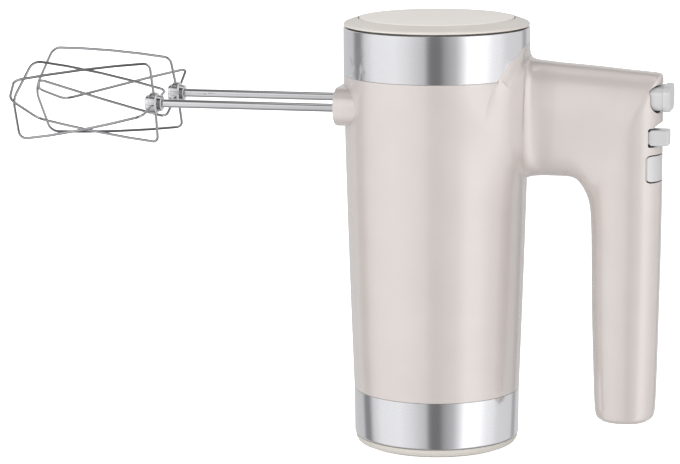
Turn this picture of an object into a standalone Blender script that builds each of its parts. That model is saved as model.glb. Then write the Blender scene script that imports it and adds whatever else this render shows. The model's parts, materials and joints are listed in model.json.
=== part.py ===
"""Hand mixer: an upright barrel with a hooked grip and two wire beaters.

Metres, +Z up. The origin is the centre of the base pad's underside, on the
barrel's axis. The beaters point along -X, the grip stands on the +X side, and
left is the side at -Y.
"""

import math

import bmesh
import bpy
from mathutils import Matrix, Vector

MM = 0.001
GAP = 0.3 * MM

# Barrel
BARREL_R_TOP = 46.5 * MM
BARREL_R_BOTTOM = 41.9 * MM
BARREL_TAPER_POWER = 1.3
WALL = 2.4 * MM
TOP_RING_Z = 188.0 * MM
CAP_Z = 212.0 * MM
BOTTOM_RING_Z = 28.5 * MM
FOOT_Z = 4.6 * MM
RING_THICKNESS = 2.3 * MM
FOOT_RING_R = 41.6 * MM
CAP_TOP_Z = 216.7 * MM
CAP_DISC_R = 38.7 * MM
PAD_R = 37.4 * MM
PAD_T = 2.0 * MM

# Beater drive
SPINDLE_Y = 20.3 * MM
SPINDLE_Z = 172.2 * MM
SHAFT_R = 2.15 * MM
SPINDLE_R = 4.5 * MM
SPINDLE_BORE_R = 2.45 * MM
NOSE_X = -46.9 * MM
NOSE_HALF_HEIGHT = 9.7 * MM
NOSE_Z = 173.0 * MM
SPINDLE_BACK_X = 14.0 * MM
BEATER_INNER_X = -8.0 * MM

# Worm and wheels
WORM_R = 5.3 * MM
WORM_STARTS = 2
WHEEL_TEETH = 26
WHEEL_R = SPINDLE_Y - WORM_R
PITCH = 2.0 * math.pi * WHEEL_R / WHEEL_TEETH
LEAD = WORM_STARTS * PITCH
ADDENDUM = 0.9 * MM
DEDENDUM = 1.4 * MM
WORM_LENGTH = 20.0 * MM
WHEEL_WIDTH = 8.4 * MM

# Beater cages
HUB_X = -141.0 * MM
HUB_R = 5.5 * MM
HUB_LENGTH = 8.4 * MM
CAGE_R = 22.2 * MM
WIRE_R = 0.7 * MM
CAGE_SHOULDER_X = -141.5 * MM
TIP_SHOULDER_X = -209.0 * MM
TIP_X = -218.3 * MM
TIP_STEP = 2.1 * MM
HUB_BEND = 3.3 * MM
SIDE_BEND = 6.0 * MM
TIP_BEND = 13.0 * MM

# Phase of each loop at the hub and at the tip, in degrees round the spindle from +Z towards +Y
LEFT_LOOPS = ((-17.0, -56.0), (80.0, 32.0))
RIGHT_LOOPS = ((-28.0, 9.5), (63.0, 111.0))

# Motor
MOTOR_SHAFT_R = 3.0 * MM
STATOR_R = 36.5 * MM
STATOR_Z = (75.0 * MM, 115.0 * MM)
STATOR_BORE_R = 17.3 * MM
ARMATURE_R = 16.6 * MM
FAN_R = 26.0 * MM
FAN_Z = 124.0 * MM

# Controls on the back of the handle
EJECT_Z = 178.8 * MM
SPEED_Z = 159.9 * MM
TURBO_Z = 144.45 * MM
EJECT_SLOT = (11.2 * MM, 6.9 * MM)
SPEED_SLOT = (12.1 * MM, 4.7 * MM)
TURBO_SLOT = (12.5 * MM, 6.75 * MM)
EJECT_DEPTH_X = 94.5 * MM
SPEED_DEPTH_X = 99.5 * MM
TURBO_DEPTH_X = 100.5 * MM
KNOB_WIDTH = 10.0 * MM
KNOB_END_GAP = 1.2 * MM
BACK_X = 113.4 * MM

# Handle: inner point (x, z), outer point (x, z) and half width of each section, in mm.
HANDLE_SECTIONS = [
    (26.0, 133.0, 26.0, 207.0, 36.0),
    (35.5, 134.0, 35.5, 208.3, 32.5),
    (41.0, 135.0, 41.0, 207.4, 28.5),
    (44.0, 136.0, 44.0, 206.2, 24.8),
    (46.9, 137.1, 46.9, 204.0, 20.4),
    (47.5, 137.3, 47.5, 197.9, 19.2),
    (48.5, 137.6, 48.5, 197.1, 18.4),
    (50.5, 137.9, 50.5, 196.4, 17.4),
    (56.0, 138.2, 56.0, 195.8, 16.2),
    (63.0, 138.2, 64.0, 195.0, 15.6),
    (67.5, 138.0, 74.0, 194.3, 15.5),
    (71.0, 136.8, 86.0, 193.3, 15.5),
    (73.6, 133.9, 98.0, 192.2, 15.5),
    (75.6, 130.5, 107.5, 191.4, 15.5),
    (76.4, 128.6, 112.3, 190.7, 15.5),
    (77.1, 126.5, 113.4, 188.6, 15.5),
    (77.9, 122.5, 113.5, 176.0, 15.5),
    (78.4, 116.0, 113.5, 157.0, 15.5),
    (78.7, 108.0, 113.5, 136.0, 15.5),
    (78.9, 95.0, 113.3, 105.0, 15.5),
    (79.3, 72.0, 112.8, 76.0, 15.3),
    (80.2, 45.0, 112.2, 45.0, 15.1),
    (81.3, 21.0, 111.4, 21.0, 14.8),
    (82.0, 17.6, 110.7, 17.8, 14.2),
    (84.2, 15.6, 108.2, 15.6, 12.2),
]
HANDLE_POWER = 2.2
HANDLE_POINTS = 20
CAVITY_TOP = 196.4

# Flare of the handle: height of its edge on the barrel by angle from +X, in degrees and mm,
# and the (radius, height) fillet in which it runs out at 0 degrees, in mm.
FLARE_EDGE = [(0.0, 204.1), (5.8, 203.8), (11.5, 201.8), (18.7, 199.5), (23.4, 197.9), (28.5, 194.9), (33.0, 192.0), (37.0, 194.5)]
FLARE_FILLET = [
    (46.65, 225.0),
    (46.65, 206.0),
    (46.75, 202.0),
    (47.0, 199.0),
    (47.6, 198.0),
    (48.55, 197.3),
    (50.5, 196.6),
    (54.0, 196.3),
    (70.0, 196.3),
    (70.0, 225.0),
]
BARREL_STEPS = 40
GRIP_MID_X = 96.0 * MM

AXIS_Z = (0.0, 0.0, 0.0)
AXIS_X = (0.0, math.pi / 2.0, 0.0)
AXIS_Y = (-math.pi / 2.0, 0.0, 0.0)
OUTLINE_YZ = (math.pi / 2.0, 0.0, math.pi / 2.0)


# ---------------------------------------------------------------- scene

def clear_scene():
    for obj in list(bpy.data.objects):
        bpy.data.objects.remove(obj, do_unlink=True)


def make_collection(name):
    collection = bpy.data.collections.new(name)
    bpy.context.scene.collection.children.link(collection)
    return collection


def make_material(name, colour, roughness, metallic=0.0):
    material = bpy.data.materials.new(name)
    material.use_nodes = True
    shader = material.node_tree.nodes["Principled BSDF"]
    shader.inputs["Base Color"].default_value = (*colour, 1.0)
    shader.inputs["Roughness"].default_value = roughness
    shader.inputs["Metallic"].default_value = metallic
    return material


clear_scene()
PARTS = make_collection("hand_mixer")
CUTTERS = make_collection("hand_mixer_cutters")

SHELL = make_material("greige_gloss", (0.72, 0.66, 0.62), 0.25)
CAP = make_material("greige_satin", (0.70, 0.65, 0.60), 0.45)
ALUMINIUM = make_material("polished_aluminium", (0.80, 0.80, 0.82), 0.2, 1.0)
CHROME = make_material("chrome", (0.85, 0.85, 0.86), 0.08, 1.0)
STEEL = make_material("steel", (0.55, 0.55, 0.56), 0.35, 1.0)
SILVER = make_material("silver_plastic", (0.75, 0.76, 0.79), 0.35)
RUBBER = make_material("rubber", (0.30, 0.28, 0.27), 0.8)
BLACK = make_material("black_plastic", (0.03, 0.03, 0.03), 0.5)
NYLON = make_material("white_nylon", (0.82, 0.80, 0.74), 0.5)
COPPER = make_material("copper", (0.72, 0.38, 0.20), 0.35, 1.0)
BRONZE = make_material("sintered_bronze", (0.55, 0.40, 0.22), 0.5, 1.0)
CARBON = make_material("carbon", (0.05, 0.05, 0.055), 0.7)
BOARD = make_material("circuit_board", (0.05, 0.22, 0.10), 0.5)


# ---------------------------------------------------------------- shape tools

def place(name, mesh, material, location=(0.0, 0.0, 0.0), rotation=AXIS_Z):
    """A part in the parts collection, or a cutter when it has no material."""
    obj = bpy.data.objects.new(name, mesh)
    obj.location = location
    obj.rotation_euler = rotation
    if material is None:
        obj.hide_render = True
        obj.display_type = "WIRE"
        CUTTERS.objects.link(obj)
    else:
        mesh.materials.append(material)
        mesh.shade_smooth()
        mesh.set_sharp_from_angle(angle=math.radians(35.0))
        PARTS.objects.link(obj)
    return obj


def turned(name, profile, material, location=(0.0, 0.0, 0.0), rotation=AXIS_Z, steps=24, closed=False):
    """Turn a (radius, height) profile, outer side top to bottom, round local Z."""
    mesh = bpy.data.meshes.new(name)
    edges = [(i, i + 1) for i in range(len(profile) - 1)]
    if closed:
        edges.append((len(profile) - 1, 0))
    mesh.from_pydata([(r, 0.0, z) for r, z in profile], edges, [])
    obj = place(name, mesh, material, location, rotation)
    screw = obj.modifiers.new("Screw", "SCREW")
    screw.steps = steps
    screw.render_steps = steps
    screw.use_merge_vertices = True
    screw.merge_threshold = 0.00001
    screw.use_smooth_shade = True
    return obj


def rod(name, radius, low, high, material, location=(0.0, 0.0, 0.0), rotation=AXIS_Z, steps=24):
    profile = [(0.0, high), (radius, high), (radius, low), (0.0, low)]
    return turned(name, profile, material, location, rotation, steps)


def tube(name, outer, inner, low, high, material, location=(0.0, 0.0, 0.0), rotation=AXIS_Z, steps=24):
    profile = [(outer, high), (outer, low), (inner, low), (inner, high)]
    return turned(name, profile, material, location, rotation, steps, closed=True)


def box(name, low, high, material, bevel=0.0):
    mesh = bpy.data.meshes.new(name)
    centre = (Vector(low) + Vector(high)) / 2.0
    size = Vector(high) - Vector(low)
    bm = bmesh.new()
    bmesh.ops.create_cube(bm, size=1.0, matrix=Matrix.Diagonal((*size, 1.0)))
    bm.to_mesh(mesh)
    bm.free()
    obj = place(name, mesh, material, centre)
    if bevel > 0.0:
        round_edges(obj, bevel)
    return obj


def round_edges(obj, width, segments=2, angle_deg=40.0):
    bevel = obj.modifiers.new("Bevel", "BEVEL")
    bevel.width = width
    bevel.segments = segments
    bevel.limit_method = "ANGLE"
    bevel.angle_limit = math.radians(angle_deg)


def curve_to_mesh(name, curve, material, location, rotation):
    """Turn a curve into a welded mesh object in the same place."""
    guide = bpy.data.objects.new(name + "_curve", curve)
    PARTS.objects.link(guide)
    bpy.context.view_layer.update()
    evaluated = guide.evaluated_get(bpy.context.evaluated_depsgraph_get())
    mesh = bpy.data.meshes.new_from_object(evaluated)
    bpy.data.objects.remove(guide, do_unlink=True)
    bm = bmesh.new()
    bm.from_mesh(mesh)
    bmesh.ops.remove_doubles(bm, verts=bm.verts, dist=0.000001)
    bm.to_mesh(mesh)
    bm.free()
    mesh.materials.clear()
    mesh.name = name
    return place(name, mesh, material, location, rotation)


def plate(name, outlines, thickness, material, location=(0.0, 0.0, 0.0), rotation=AXIS_Z):
    """Fill flat outlines in local XY, centred on the location, with holes."""
    curve = bpy.data.curves.new(name, "CURVE")
    curve.dimensions = "2D"
    curve.fill_mode = "BOTH"
    curve.extrude = thickness / 2.0
    for points in outlines:
        spline = curve.splines.new("POLY")
        spline.points.add(len(points) - 1)
        for slot, (x, y) in zip(spline.points, points):
            slot.co = (x, y, 0.0, 1.0)
        spline.use_cyclic_u = True
    return curve_to_mesh(name, curve, material, location, rotation)


def wire(name, points, radius, material, location=(0.0, 0.0, 0.0)):
    curve = bpy.data.curves.new(name, "CURVE")
    curve.dimensions = "3D"
    curve.bevel_depth = radius
    curve.bevel_resolution = 2
    curve.use_fill_caps = True
    spline = curve.splines.new("POLY")
    spline.points.add(len(points) - 1)
    for slot, point in zip(spline.points, points):
        slot.co = (*point, 1.0)
    return curve_to_mesh(name, curve, material, location, AXIS_Z)


def arc(centre, radius, start_deg, end_deg, count):
    """Points on an arc, both ends included."""
    angles = [math.radians(start_deg + (end_deg - start_deg) * i / count) for i in range(count + 1)]
    return [(centre[0] + radius * math.cos(a), centre[1] + radius * math.sin(a)) for a in angles]


def rounded_rect(half_x, half_y, radius, count=4):
    points = []
    corners = [(1, 1, 0.0), (-1, 1, 90.0), (-1, -1, 180.0), (1, -1, 270.0)]
    for side_x, side_y, start in corners:
        centre = (side_x * (half_x - radius), side_y * (half_y - radius))
        points += arc(centre, radius, start, start + 90.0, count)
    return points


def boolean(obj, tool, operation):
    modifier = obj.modifiers.new(operation.title(), "BOOLEAN")
    modifier.operation = operation
    modifier.object = tool
    modifier.solver = "EXACT"


def cut(obj, *tools):
    for tool in tools:
        boolean(obj, tool, "DIFFERENCE")


def join(obj, *tools):
    for tool in tools:
        boolean(obj, tool, "UNION")


def loft(name, rings, material):
    """Skin equal rings of points, with both ends capped."""
    count = len(rings[0])
    vertices = [point for ring in rings for point in ring]
    faces = []
    for row in range(len(rings) - 1):
        for i in range(count):
            j = (i + 1) % count
            low, high = row * count, (row + 1) * count
            faces.append((low + i, low + j, high + j, high + i))
    faces.append(tuple(reversed(range(count))))
    faces.append(tuple(range(len(vertices) - count, len(vertices))))
    mesh = bpy.data.meshes.new(name)
    mesh.from_pydata(vertices, [], faces)
    bm = bmesh.new()
    bm.from_mesh(mesh)
    bmesh.ops.recalc_face_normals(bm, faces=bm.faces)
    bm.to_mesh(mesh)
    bm.free()
    return place(name, mesh, material)


def axis_empty(name, location, *parts):
    """An empty on a joint's axis, which its parts hang on."""
    empty = bpy.data.objects.new(name, None)
    empty.location = location
    empty.empty_display_size = 5.0 * MM
    PARTS.objects.link(empty)
    for part in parts:
        part.parent = empty
        part.matrix_parent_inverse = Matrix.Translation(-Vector(location))
    return empty


# ---------------------------------------------------------------- housing

def barrel_radius(z):
    """Outer radius of the barrel, which tapers ever faster towards the foot."""
    t = (TOP_RING_Z - z) / (TOP_RING_Z - BOTTOM_RING_Z)
    t = min(max(t, 0.0), 1.0)
    return BARREL_R_TOP - (BARREL_R_TOP - BARREL_R_BOTTOM) * t ** BARREL_TAPER_POWER


def barrel_outer(name, material):
    top_neck = BARREL_R_TOP - RING_THICKNESS - GAP
    foot_neck = BARREL_R_BOTTOM - RING_THICKNESS + GAP
    profile = [(0.0, CAP_Z - GAP), (top_neck, CAP_Z - GAP), (top_neck, TOP_RING_Z)]
    levels = 6
    for i in range(levels + 1):
        z = TOP_RING_Z + (BOTTOM_RING_Z - TOP_RING_Z) * i / levels
        profile.append((barrel_radius(z), z))
    profile += [(foot_neck, BOTTOM_RING_Z), (foot_neck, FOOT_Z), (0.0, FOOT_Z)]
    return turned(name, profile, material, steps=BARREL_STEPS)


def barrel_inner():
    """The barrel's cavity, with inward ribs that cradle motor and gear frame."""
    top_neck = BARREL_R_TOP - RING_THICKNESS - GAP - WALL
    foot_neck = BARREL_R_BOTTOM - RING_THICKNESS + GAP - WALL + 0.4 * MM
    ribs = [
        (145.7 * MM, 142.9 * MM, 39.0 * MM),
        (96.5 * MM, 93.5 * MM, STATOR_R + GAP),
        (42.0 * MM, 39.4 * MM, STATOR_R + GAP),
    ]
    beyond = 5.0 * MM
    profile = [(0.0, CAP_Z + beyond), (top_neck, CAP_Z + beyond), (top_neck, 186.0 * MM)]
    profile.append((barrel_radius(184.0 * MM) - WALL, 184.0 * MM))
    for high, low, radius in ribs:
        profile.append((barrel_radius(high) - WALL, high))
        profile.append((radius, high))
        profile.append((radius, low))
        profile.append((barrel_radius(low) - WALL, low))
    profile += [(barrel_radius(31.0 * MM) - WALL, 31.0 * MM), (foot_neck, 29.5 * MM)]
    profile += [(foot_neck, FOOT_Z - beyond), (0.0, FOOT_Z - beyond)]
    return turned("barrel_inner", profile, None, steps=BARREL_STEPS)


def handle_ring(section, inset, power):
    """A superellipse across the handle, in the plane of its inner and outer points."""
    px, pz, qx, qz, half_width = [value * MM for value in section]
    inner = Vector((px, 0.0, pz))
    outer = Vector((qx, 0.0, qz))
    middle = (inner + outer) / 2.0
    reach = (outer - inner) / 2.0
    half = reach.length - inset
    along = reach.normalized()
    side = half_width - inset
    ring = []
    for i in range(HANDLE_POINTS):
        angle = 2.0 * math.pi * i / HANDLE_POINTS
        c, s = math.cos(angle), math.sin(angle)
        u = math.copysign(abs(c) ** (2.0 / power), c)
        v = math.copysign(abs(s) ** (2.0 / power), s)
        ring.append(middle + along * half * u + Vector((0.0, side * v, 0.0)))
    return ring


def handle_solid(name, inset, first, last):
    """A stretch of the handle between two of its sections."""
    rings = [handle_ring(section, inset, HANDLE_POWER) for section in HANDLE_SECTIONS[first:last]]
    return loft(name, rings, None)


def handle_cavity():
    """The handle's hollow, which stays clear of the flare's edge."""
    rings = []
    for px, pz, qx, qz, half_width in HANDLE_SECTIONS[0:-2:2]:
        rings.append(handle_ring((px, pz, qx, min(qz, CAVITY_TOP), half_width), WALL, HANDLE_POWER))
    return loft("handle_inner", rings, None)


def flare_fillet():
    """What is cut off the flare so that it runs out evenly round the barrel."""
    other_side = [(-angle, height) for angle, height in reversed(FLARE_EDGE[1:])]
    rings = []
    for angle, height in other_side + FLARE_EDGE:
        drop = FLARE_EDGE[0][1] - height
        a = math.radians(angle)
        ring = [(r * math.cos(a) * MM, r * math.sin(a) * MM, (z - drop) * MM) for r, z in FLARE_FILLET]
        rings.append(ring)
    return loft("flare_fillet", rings, None)


def nose_solid(name, inset, front):
    """The boss that both beaters come out of, a slot shape along X."""
    height = NOSE_HALF_HEIGHT - inset
    outline = rounded_rect(SPINDLE_Y + height, height, height - 0.01 * MM, 6)
    back = -15.0 * MM
    middle = ((front + back) / 2.0, 0.0, NOSE_Z)
    return plate(name, [outline], back - front, None, middle, OUTLINE_YZ)


def slot_prism(name, z, half_size, radius, low_x, high_x, material=None):
    """A rounded rectangle across the handle's back, drawn out along X."""
    outline = rounded_rect(*half_size, radius)
    middle = ((low_x + high_x) / 2.0, 0.0, z)
    return plate(name, [outline], high_x - low_x, material, middle, OUTLINE_YZ)


def shrunk(half_size, by):
    return (half_size[0] - by, half_size[1] - by)


def housing_cutters():
    """Openings through the housing: beater holes, control slots, inlet and splits."""
    tools = []
    for side in (-1, 1):
        name = "beater_hole_%s" % ("left" if side < 0 else "right")
        at = (0.0, side * SPINDLE_Y, SPINDLE_Z)
        tools.append(rod(name, 2.9 * MM, -60.0 * MM, -44.0 * MM, None, at, AXIS_X, 20))
    beyond = 125.0 * MM
    tools.append(slot_prism("eject_opening", EJECT_Z, EJECT_SLOT, 5.0 * MM, EJECT_DEPTH_X, beyond))
    tools.append(slot_prism("speed_opening", SPEED_Z, SPEED_SLOT, 0.8 * MM, SPEED_DEPTH_X, beyond))
    tools.append(slot_prism("turbo_opening", TURBO_Z, TURBO_SLOT, 2.0 * MM, TURBO_DEPTH_X, beyond))
    inlet = rounded_rect(10.3 * MM, 7.3 * MM, 3.0 * MM)
    tools.append(plate("inlet_opening", [inlet], 20.0 * MM, None, (GRIP_MID_X, 0.0, 14.0 * MM)))
    return tools


SCREW_PLACES = [(GRIP_MID_X, 42.0 * MM), (GRIP_MID_X, 98.0 * MM), (64.0 * MM, 164.0 * MM)]
BASE_SCREW_ANGLES = (90.0, 210.0, 330.0)
BASE_SCREW_RADIUS = 34.4 * MM


def screw_bosses():
    """Posts inside the housing that the screws draw together."""
    bosses = []
    for i, (x, z) in enumerate(SCREW_PLACES):
        at = (x, 0.0, z)
        bosses.append(rod("handle_boss_%d" % i, 3.8 * MM, -14.2 * MM, 14.2 * MM, None, at, AXIS_Y, 12))
    for i, angle in enumerate(BASE_SCREW_ANGLES):
        a = math.radians(angle)
        at = (BASE_SCREW_RADIUS * math.cos(a), BASE_SCREW_RADIUS * math.sin(a), 0.0)
        bosses.append(rod("base_boss_%d" % i, 4.2 * MM, 9.4 * MM, 21.0 * MM, None, at, AXIS_Z, 14))
    seat = box("spring_seat", (84.0 * MM, -20.0 * MM, 170.0 * MM), (86.4 * MM, 20.0 * MM, 200.0 * MM), None)
    boolean(seat, handle_solid("handle_middle", WALL / 2.0, 0, len(HANDLE_SECTIONS) - 2), "INTERSECT")
    bosses.append(seat)
    return bosses


def screw_holes():
    holes = []
    for i, (x, z) in enumerate(SCREW_PLACES):
        at = (x, 0.0, z)
        profile = [(0.0, 20.0 * MM), (3.2 * MM, 20.0 * MM), (3.2 * MM, 6.0 * MM), (1.8 * MM, 6.0 * MM)]
        profile += [(1.8 * MM, -10.5 * MM), (0.0, -10.5 * MM)]
        holes.append(turned("handle_screw_hole_%d" % i, profile, None, at, AXIS_Y, 12))
    for i, angle in enumerate(BASE_SCREW_ANGLES):
        a = math.radians(angle)
        at = (BASE_SCREW_RADIUS * math.cos(a), BASE_SCREW_RADIUS * math.sin(a), 0.0)
        holes.append(rod("base_screw_hole_%d" % i, 1.8 * MM, 5.0 * MM, 18.0 * MM, None, at, AXIS_Z, 12))
    at = (0.0, 0.0, EJECT_Z)
    holes.append(rod("push_rod_hole", 2.9 * MM, 80.0 * MM, 90.0 * MM, None, at, AXIS_X, 16))
    return holes


def housing_halves():
    """The same hollow casting twice, each time cut down to one side of the XZ plane."""
    handle = handle_solid("handle_outer", 0.0, 0, len(HANDLE_SECTIONS))
    cut(handle, flare_fillet())
    outside = [handle, nose_solid("nose_outer", 0.0, NOSE_X)]
    inside = [
        barrel_inner(),
        handle_cavity(),
        nose_solid("nose_inner", WALL, NOSE_X + WALL),
    ]
    bosses = screw_bosses()
    holes = housing_cutters() + screw_holes()
    reach = 0.3
    half_gap = GAP / 2.0
    keep_left = box("keep_left", (-reach, -reach, -reach), (reach, -half_gap, reach), None)
    keep_right = box("keep_right", (-reach, half_gap, -reach), (reach, reach, reach), None)
    for name, keep in (("housing_left", keep_left), ("housing_right", keep_right)):
        half = barrel_outer(name, SHELL)
        join(half, *outside)
        cut(half, *inside)
        join(half, *bosses)
        cut(half, *holes)
        boolean(half, keep, "INTERSECT")


def rings():
    """Aluminium bands over the housing's necks; the upper one is notched for the arm."""
    inner = BARREL_R_TOP - RING_THICKNESS
    outer = BARREL_R_TOP + 0.1 * MM
    low, high = TOP_RING_Z + GAP, CAP_Z - GAP
    top = tube("top_ring", outer, inner, low, high, ALUMINIUM, steps=BARREL_STEPS)
    notch = handle_solid("ring_notch", -GAP, 0, 10)
    cut(top, notch)
    inner = BARREL_R_BOTTOM - RING_THICKNESS + 2.0 * GAP
    edge = 1.2 * MM
    profile = [
        (BARREL_R_BOTTOM, BOTTOM_RING_Z - GAP),
        (FOOT_RING_R, FOOT_Z + edge),
        (FOOT_RING_R - edge * 0.3, FOOT_Z + edge * 0.3),
        (FOOT_RING_R - edge, FOOT_Z),
        (inner, FOOT_Z),
        (inner, BOTTOM_RING_Z - GAP),
    ]
    turned("bottom_ring", profile, ALUMINIUM, steps=BARREL_STEPS, closed=True)


def cap():
    """The bezel that plugs the barrel's upper end, and the disc set into it."""
    skirt = BARREL_R_TOP - RING_THICKNESS - GAP - WALL - GAP
    disc_floor = CAP_TOP_Z - 2.2 * MM
    profile = [
        (CAP_DISC_R + GAP, CAP_TOP_Z - 0.5 * MM),
        (CAP_DISC_R + 0.8 * MM, CAP_TOP_Z - 0.5 * MM),
        (BARREL_R_TOP - 0.7 * MM, CAP_TOP_Z - 2.7 * MM),
        (BARREL_R_TOP, CAP_TOP_Z - 3.4 * MM),
        (BARREL_R_TOP - 0.2 * MM, CAP_Z),
        (skirt, CAP_Z),
        (skirt, CAP_Z - 6.5 * MM),
        (skirt - 1.8 * MM, CAP_Z - 6.5 * MM),
        (skirt - 1.8 * MM, disc_floor - 1.4 * MM),
        (0.0, disc_floor - 1.4 * MM),
        (0.0, disc_floor),
        (CAP_DISC_R + GAP, disc_floor),
    ]
    outline = profile[-2:] + profile[:-2]
    turned("top_bezel", outline, CAP, steps=BARREL_STEPS)
    disc = [
        (0.0, CAP_TOP_Z + 0.2 * MM),
        (CAP_DISC_R * 0.6, CAP_TOP_Z),
        (CAP_DISC_R - 0.4 * MM, CAP_TOP_Z - 0.2 * MM),
        (CAP_DISC_R, CAP_TOP_Z - 0.6 * MM),
        (CAP_DISC_R, disc_floor + GAP),
        (0.0, disc_floor + GAP),
    ]
    turned("cap_disc", disc, CAP, steps=BARREL_STEPS)


def foot():
    """The base plate under the barrel, its rubber pad and its three screws."""
    top = FOOT_Z - GAP
    spigot = BARREL_R_BOTTOM - RING_THICKNESS + GAP - WALL + 0.4 * MM - GAP
    profile = [
        (0.0, 6.6 * MM),
        (spigot, 6.6 * MM),
        (spigot, top),
        (40.9 * MM, top),
        (41.1 * MM, 3.4 * MM),
        (40.4 * MM, 1.7 * MM),
        (39.3 * MM, 1.1 * MM),
        (PAD_R + 0.3 * MM, 1.1 * MM),
        (PAD_R + 0.3 * MM, PAD_T + GAP),
        (0.0, PAD_T + GAP),
    ]
    base = turned("base_plate", profile, CAP, steps=BARREL_STEPS)
    pad = [(0.0, PAD_T), (PAD_R, PAD_T), (PAD_R, 0.5 * MM), (PAD_R - 0.5 * MM, 0.0), (0.0, 0.0)]
    turned("base_pad", pad, RUBBER, steps=BARREL_STEPS)
    for i, angle in enumerate(BASE_SCREW_ANGLES):
        a = math.radians(angle)
        at = (BASE_SCREW_RADIUS * math.cos(a), BASE_SCREW_RADIUS * math.sin(a), 0.0)
        bore = [(0.0, 12.0 * MM), (1.8 * MM, 12.0 * MM), (1.8 * MM, 4.9 * MM), (3.1 * MM, 4.9 * MM)]
        bore += [(3.1 * MM, 0.0), (0.0, 0.0)]
        cut(base, turned("base_screw_bore_%d" % i, bore, None, at, AXIS_Z, 16))
        screw("base_screw_%d" % (i + 1), 2.6 * MM, 17.0 * MM, at, AXIS_Z)


def screw(name, head_z, tip_z, location, rotation):
    """A pan-head screw whose head starts at head_z and whose point is at tip_z."""
    step = 1.0 if tip_z > head_z else -1.0
    shoulder = head_z + step * 2.0 * MM
    profile = [(0.0, head_z), (2.7 * MM, head_z), (2.8 * MM, shoulder), (1.5 * MM, shoulder)]
    profile += [(1.5 * MM, tip_z - step * 1.5 * MM), (0.0, tip_z)]
    if step > 0:
        profile.reverse()
    return turned(name, profile, STEEL, location, rotation, 12)


def housing_screws():
    for i, (x, z) in enumerate(SCREW_PLACES):
        screw("housing_screw_%d" % (i + 1), 8.4 * MM, -9.5 * MM, (x, 0.0, z), AXIS_Y)


# ---------------------------------------------------------------- motor

def stator_outline():
    """Inner edge of the field laminations, with a pole at +Y and one at -Y."""
    points = []
    yoke = 30.0 * MM
    tip_back = 20.6 * MM
    for centre in (90.0, 270.0):
        points += arc((0.0, 0.0), yoke, centre - 90.0 + 2.0, centre - 22.0, 6)
        points += [polar(tip_back, centre - 30.0), polar(tip_back, centre - 50.0)]
        points += arc((0.0, 0.0), STATOR_BORE_R, centre - 52.0, centre + 52.0, 10)
        points += [polar(tip_back, centre + 50.0), polar(tip_back, centre + 30.0)]
        points += arc((0.0, 0.0), yoke, centre + 22.0, centre + 90.0 - 2.0, 6)
    return points


def polar(radius, angle_deg):
    a = math.radians(angle_deg)
    return (radius * math.cos(a), radius * math.sin(a))


def stator():
    low, high = STATOR_Z
    outlines = [arc((0.0, 0.0), STATOR_R, 0.0, 352.5, 47), stator_outline()]
    plate("stator_core", outlines, high - low, STEEL, (0.0, 0.0, (low + high) / 2.0))
    middle = (low + high) / 2.0
    half = (high - low) / 2.0
    for side, name in ((-1, "left"), (1, "right")):
        y = side * 19.4 * MM
        outlines = [
            rounded_rect(16.2 * MM, half + 5.4 * MM, 4.0 * MM, 3),
            rounded_rect(11.4 * MM, half + 0.5 * MM, 1.0 * MM, 2),
        ]
        at = (0.0, y, middle)
        plate("field_coil_" + name, outlines, 3.6 * MM, COPPER, at, (math.pi / 2.0, 0.0, 0.0))


def end_bracket():
    """The lower motor bracket: a disc with two legs, bored for the lower bearing."""
    low, high = 38.0 * MM, 42.5 * MM
    bracket = tube("end_bracket", STATOR_R - 0.4 * MM, 6.8 * MM, low, high, ALUMINIUM, steps=32)
    for side in (-1, 1):
        x = sorted((side * 30.5 * MM, side * 35.0 * MM))
        leg = box("bracket_leg_%d" % side, (x[0], -5.0 * MM, 40.0 * MM), (x[1], 5.0 * MM, STATOR_Z[0] - GAP), None)
        join(bracket, leg)
    tube("lower_bearing", 6.5 * MM, MOTOR_SHAFT_R + GAP, 37.5 * MM, 42.5 * MM, BRONZE, steps=20)


def brushes():
    """Carbon brushes in box holders that stand on the lower bracket."""
    middle = 57.0 * MM
    for side, name in ((-1, "left"), (1, "right")):
        y = sorted((side * 12.0 * MM, side * 26.0 * MM))
        tube_box = box("brush_holder_" + name, (-4.6 * MM, y[0], middle - 5.6 * MM),
                       (4.6 * MM, y[1], middle + 5.6 * MM), BLACK)
        foot_y = sorted((side * 17.0 * MM, side * 25.0 * MM))
        leg = box("brush_leg_" + name, (-3.5 * MM, foot_y[0], 42.5 * MM + GAP),
                  (3.5 * MM, foot_y[1], middle - 5.0 * MM), None)
        bore = box("brush_bore_" + name, (-3.3 * MM, -40.0 * MM, middle - 4.3 * MM),
                   (3.3 * MM, 40.0 * MM, middle + 4.3 * MM), None)
        join(tube_box, leg)
        cut(tube_box, bore)
        y = sorted((side * 9.4 * MM, side * 22.0 * MM))
        box("brush_" + name, (-3.0 * MM, y[0], middle - 4.0 * MM), (3.0 * MM, y[1], middle + 4.0 * MM), CARBON)


def armature():
    """Everything that turns with the motor shaft."""
    shaft = [(0.0, 197.0 * MM), (MOTOR_SHAFT_R - 0.5 * MM, 197.0 * MM), (MOTOR_SHAFT_R, 196.3 * MM)]
    shaft += [(MOTOR_SHAFT_R, 34.0 * MM), (0.0, 34.0 * MM)]
    bore = MOTOR_SHAFT_R + GAP
    parts = [turned("motor_shaft", shaft, STEEL, steps=20)]
    parts.append(plate("armature_core", [armature_outline(), circle(bore, 16)],
                       39.0 * MM, STEEL, (0.0, 0.0, sum(STATOR_Z) / 2.0)))
    parts.append(commutator(bore))
    parts.append(fan(bore))
    parts.append(worm(bore))
    axis_empty("armature_axis", (0.0, 0.0, 0.0), *parts)


def circle(radius, count):
    return arc((0.0, 0.0), radius, 0.0, 360.0 - 360.0 / count, count - 1)


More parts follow.
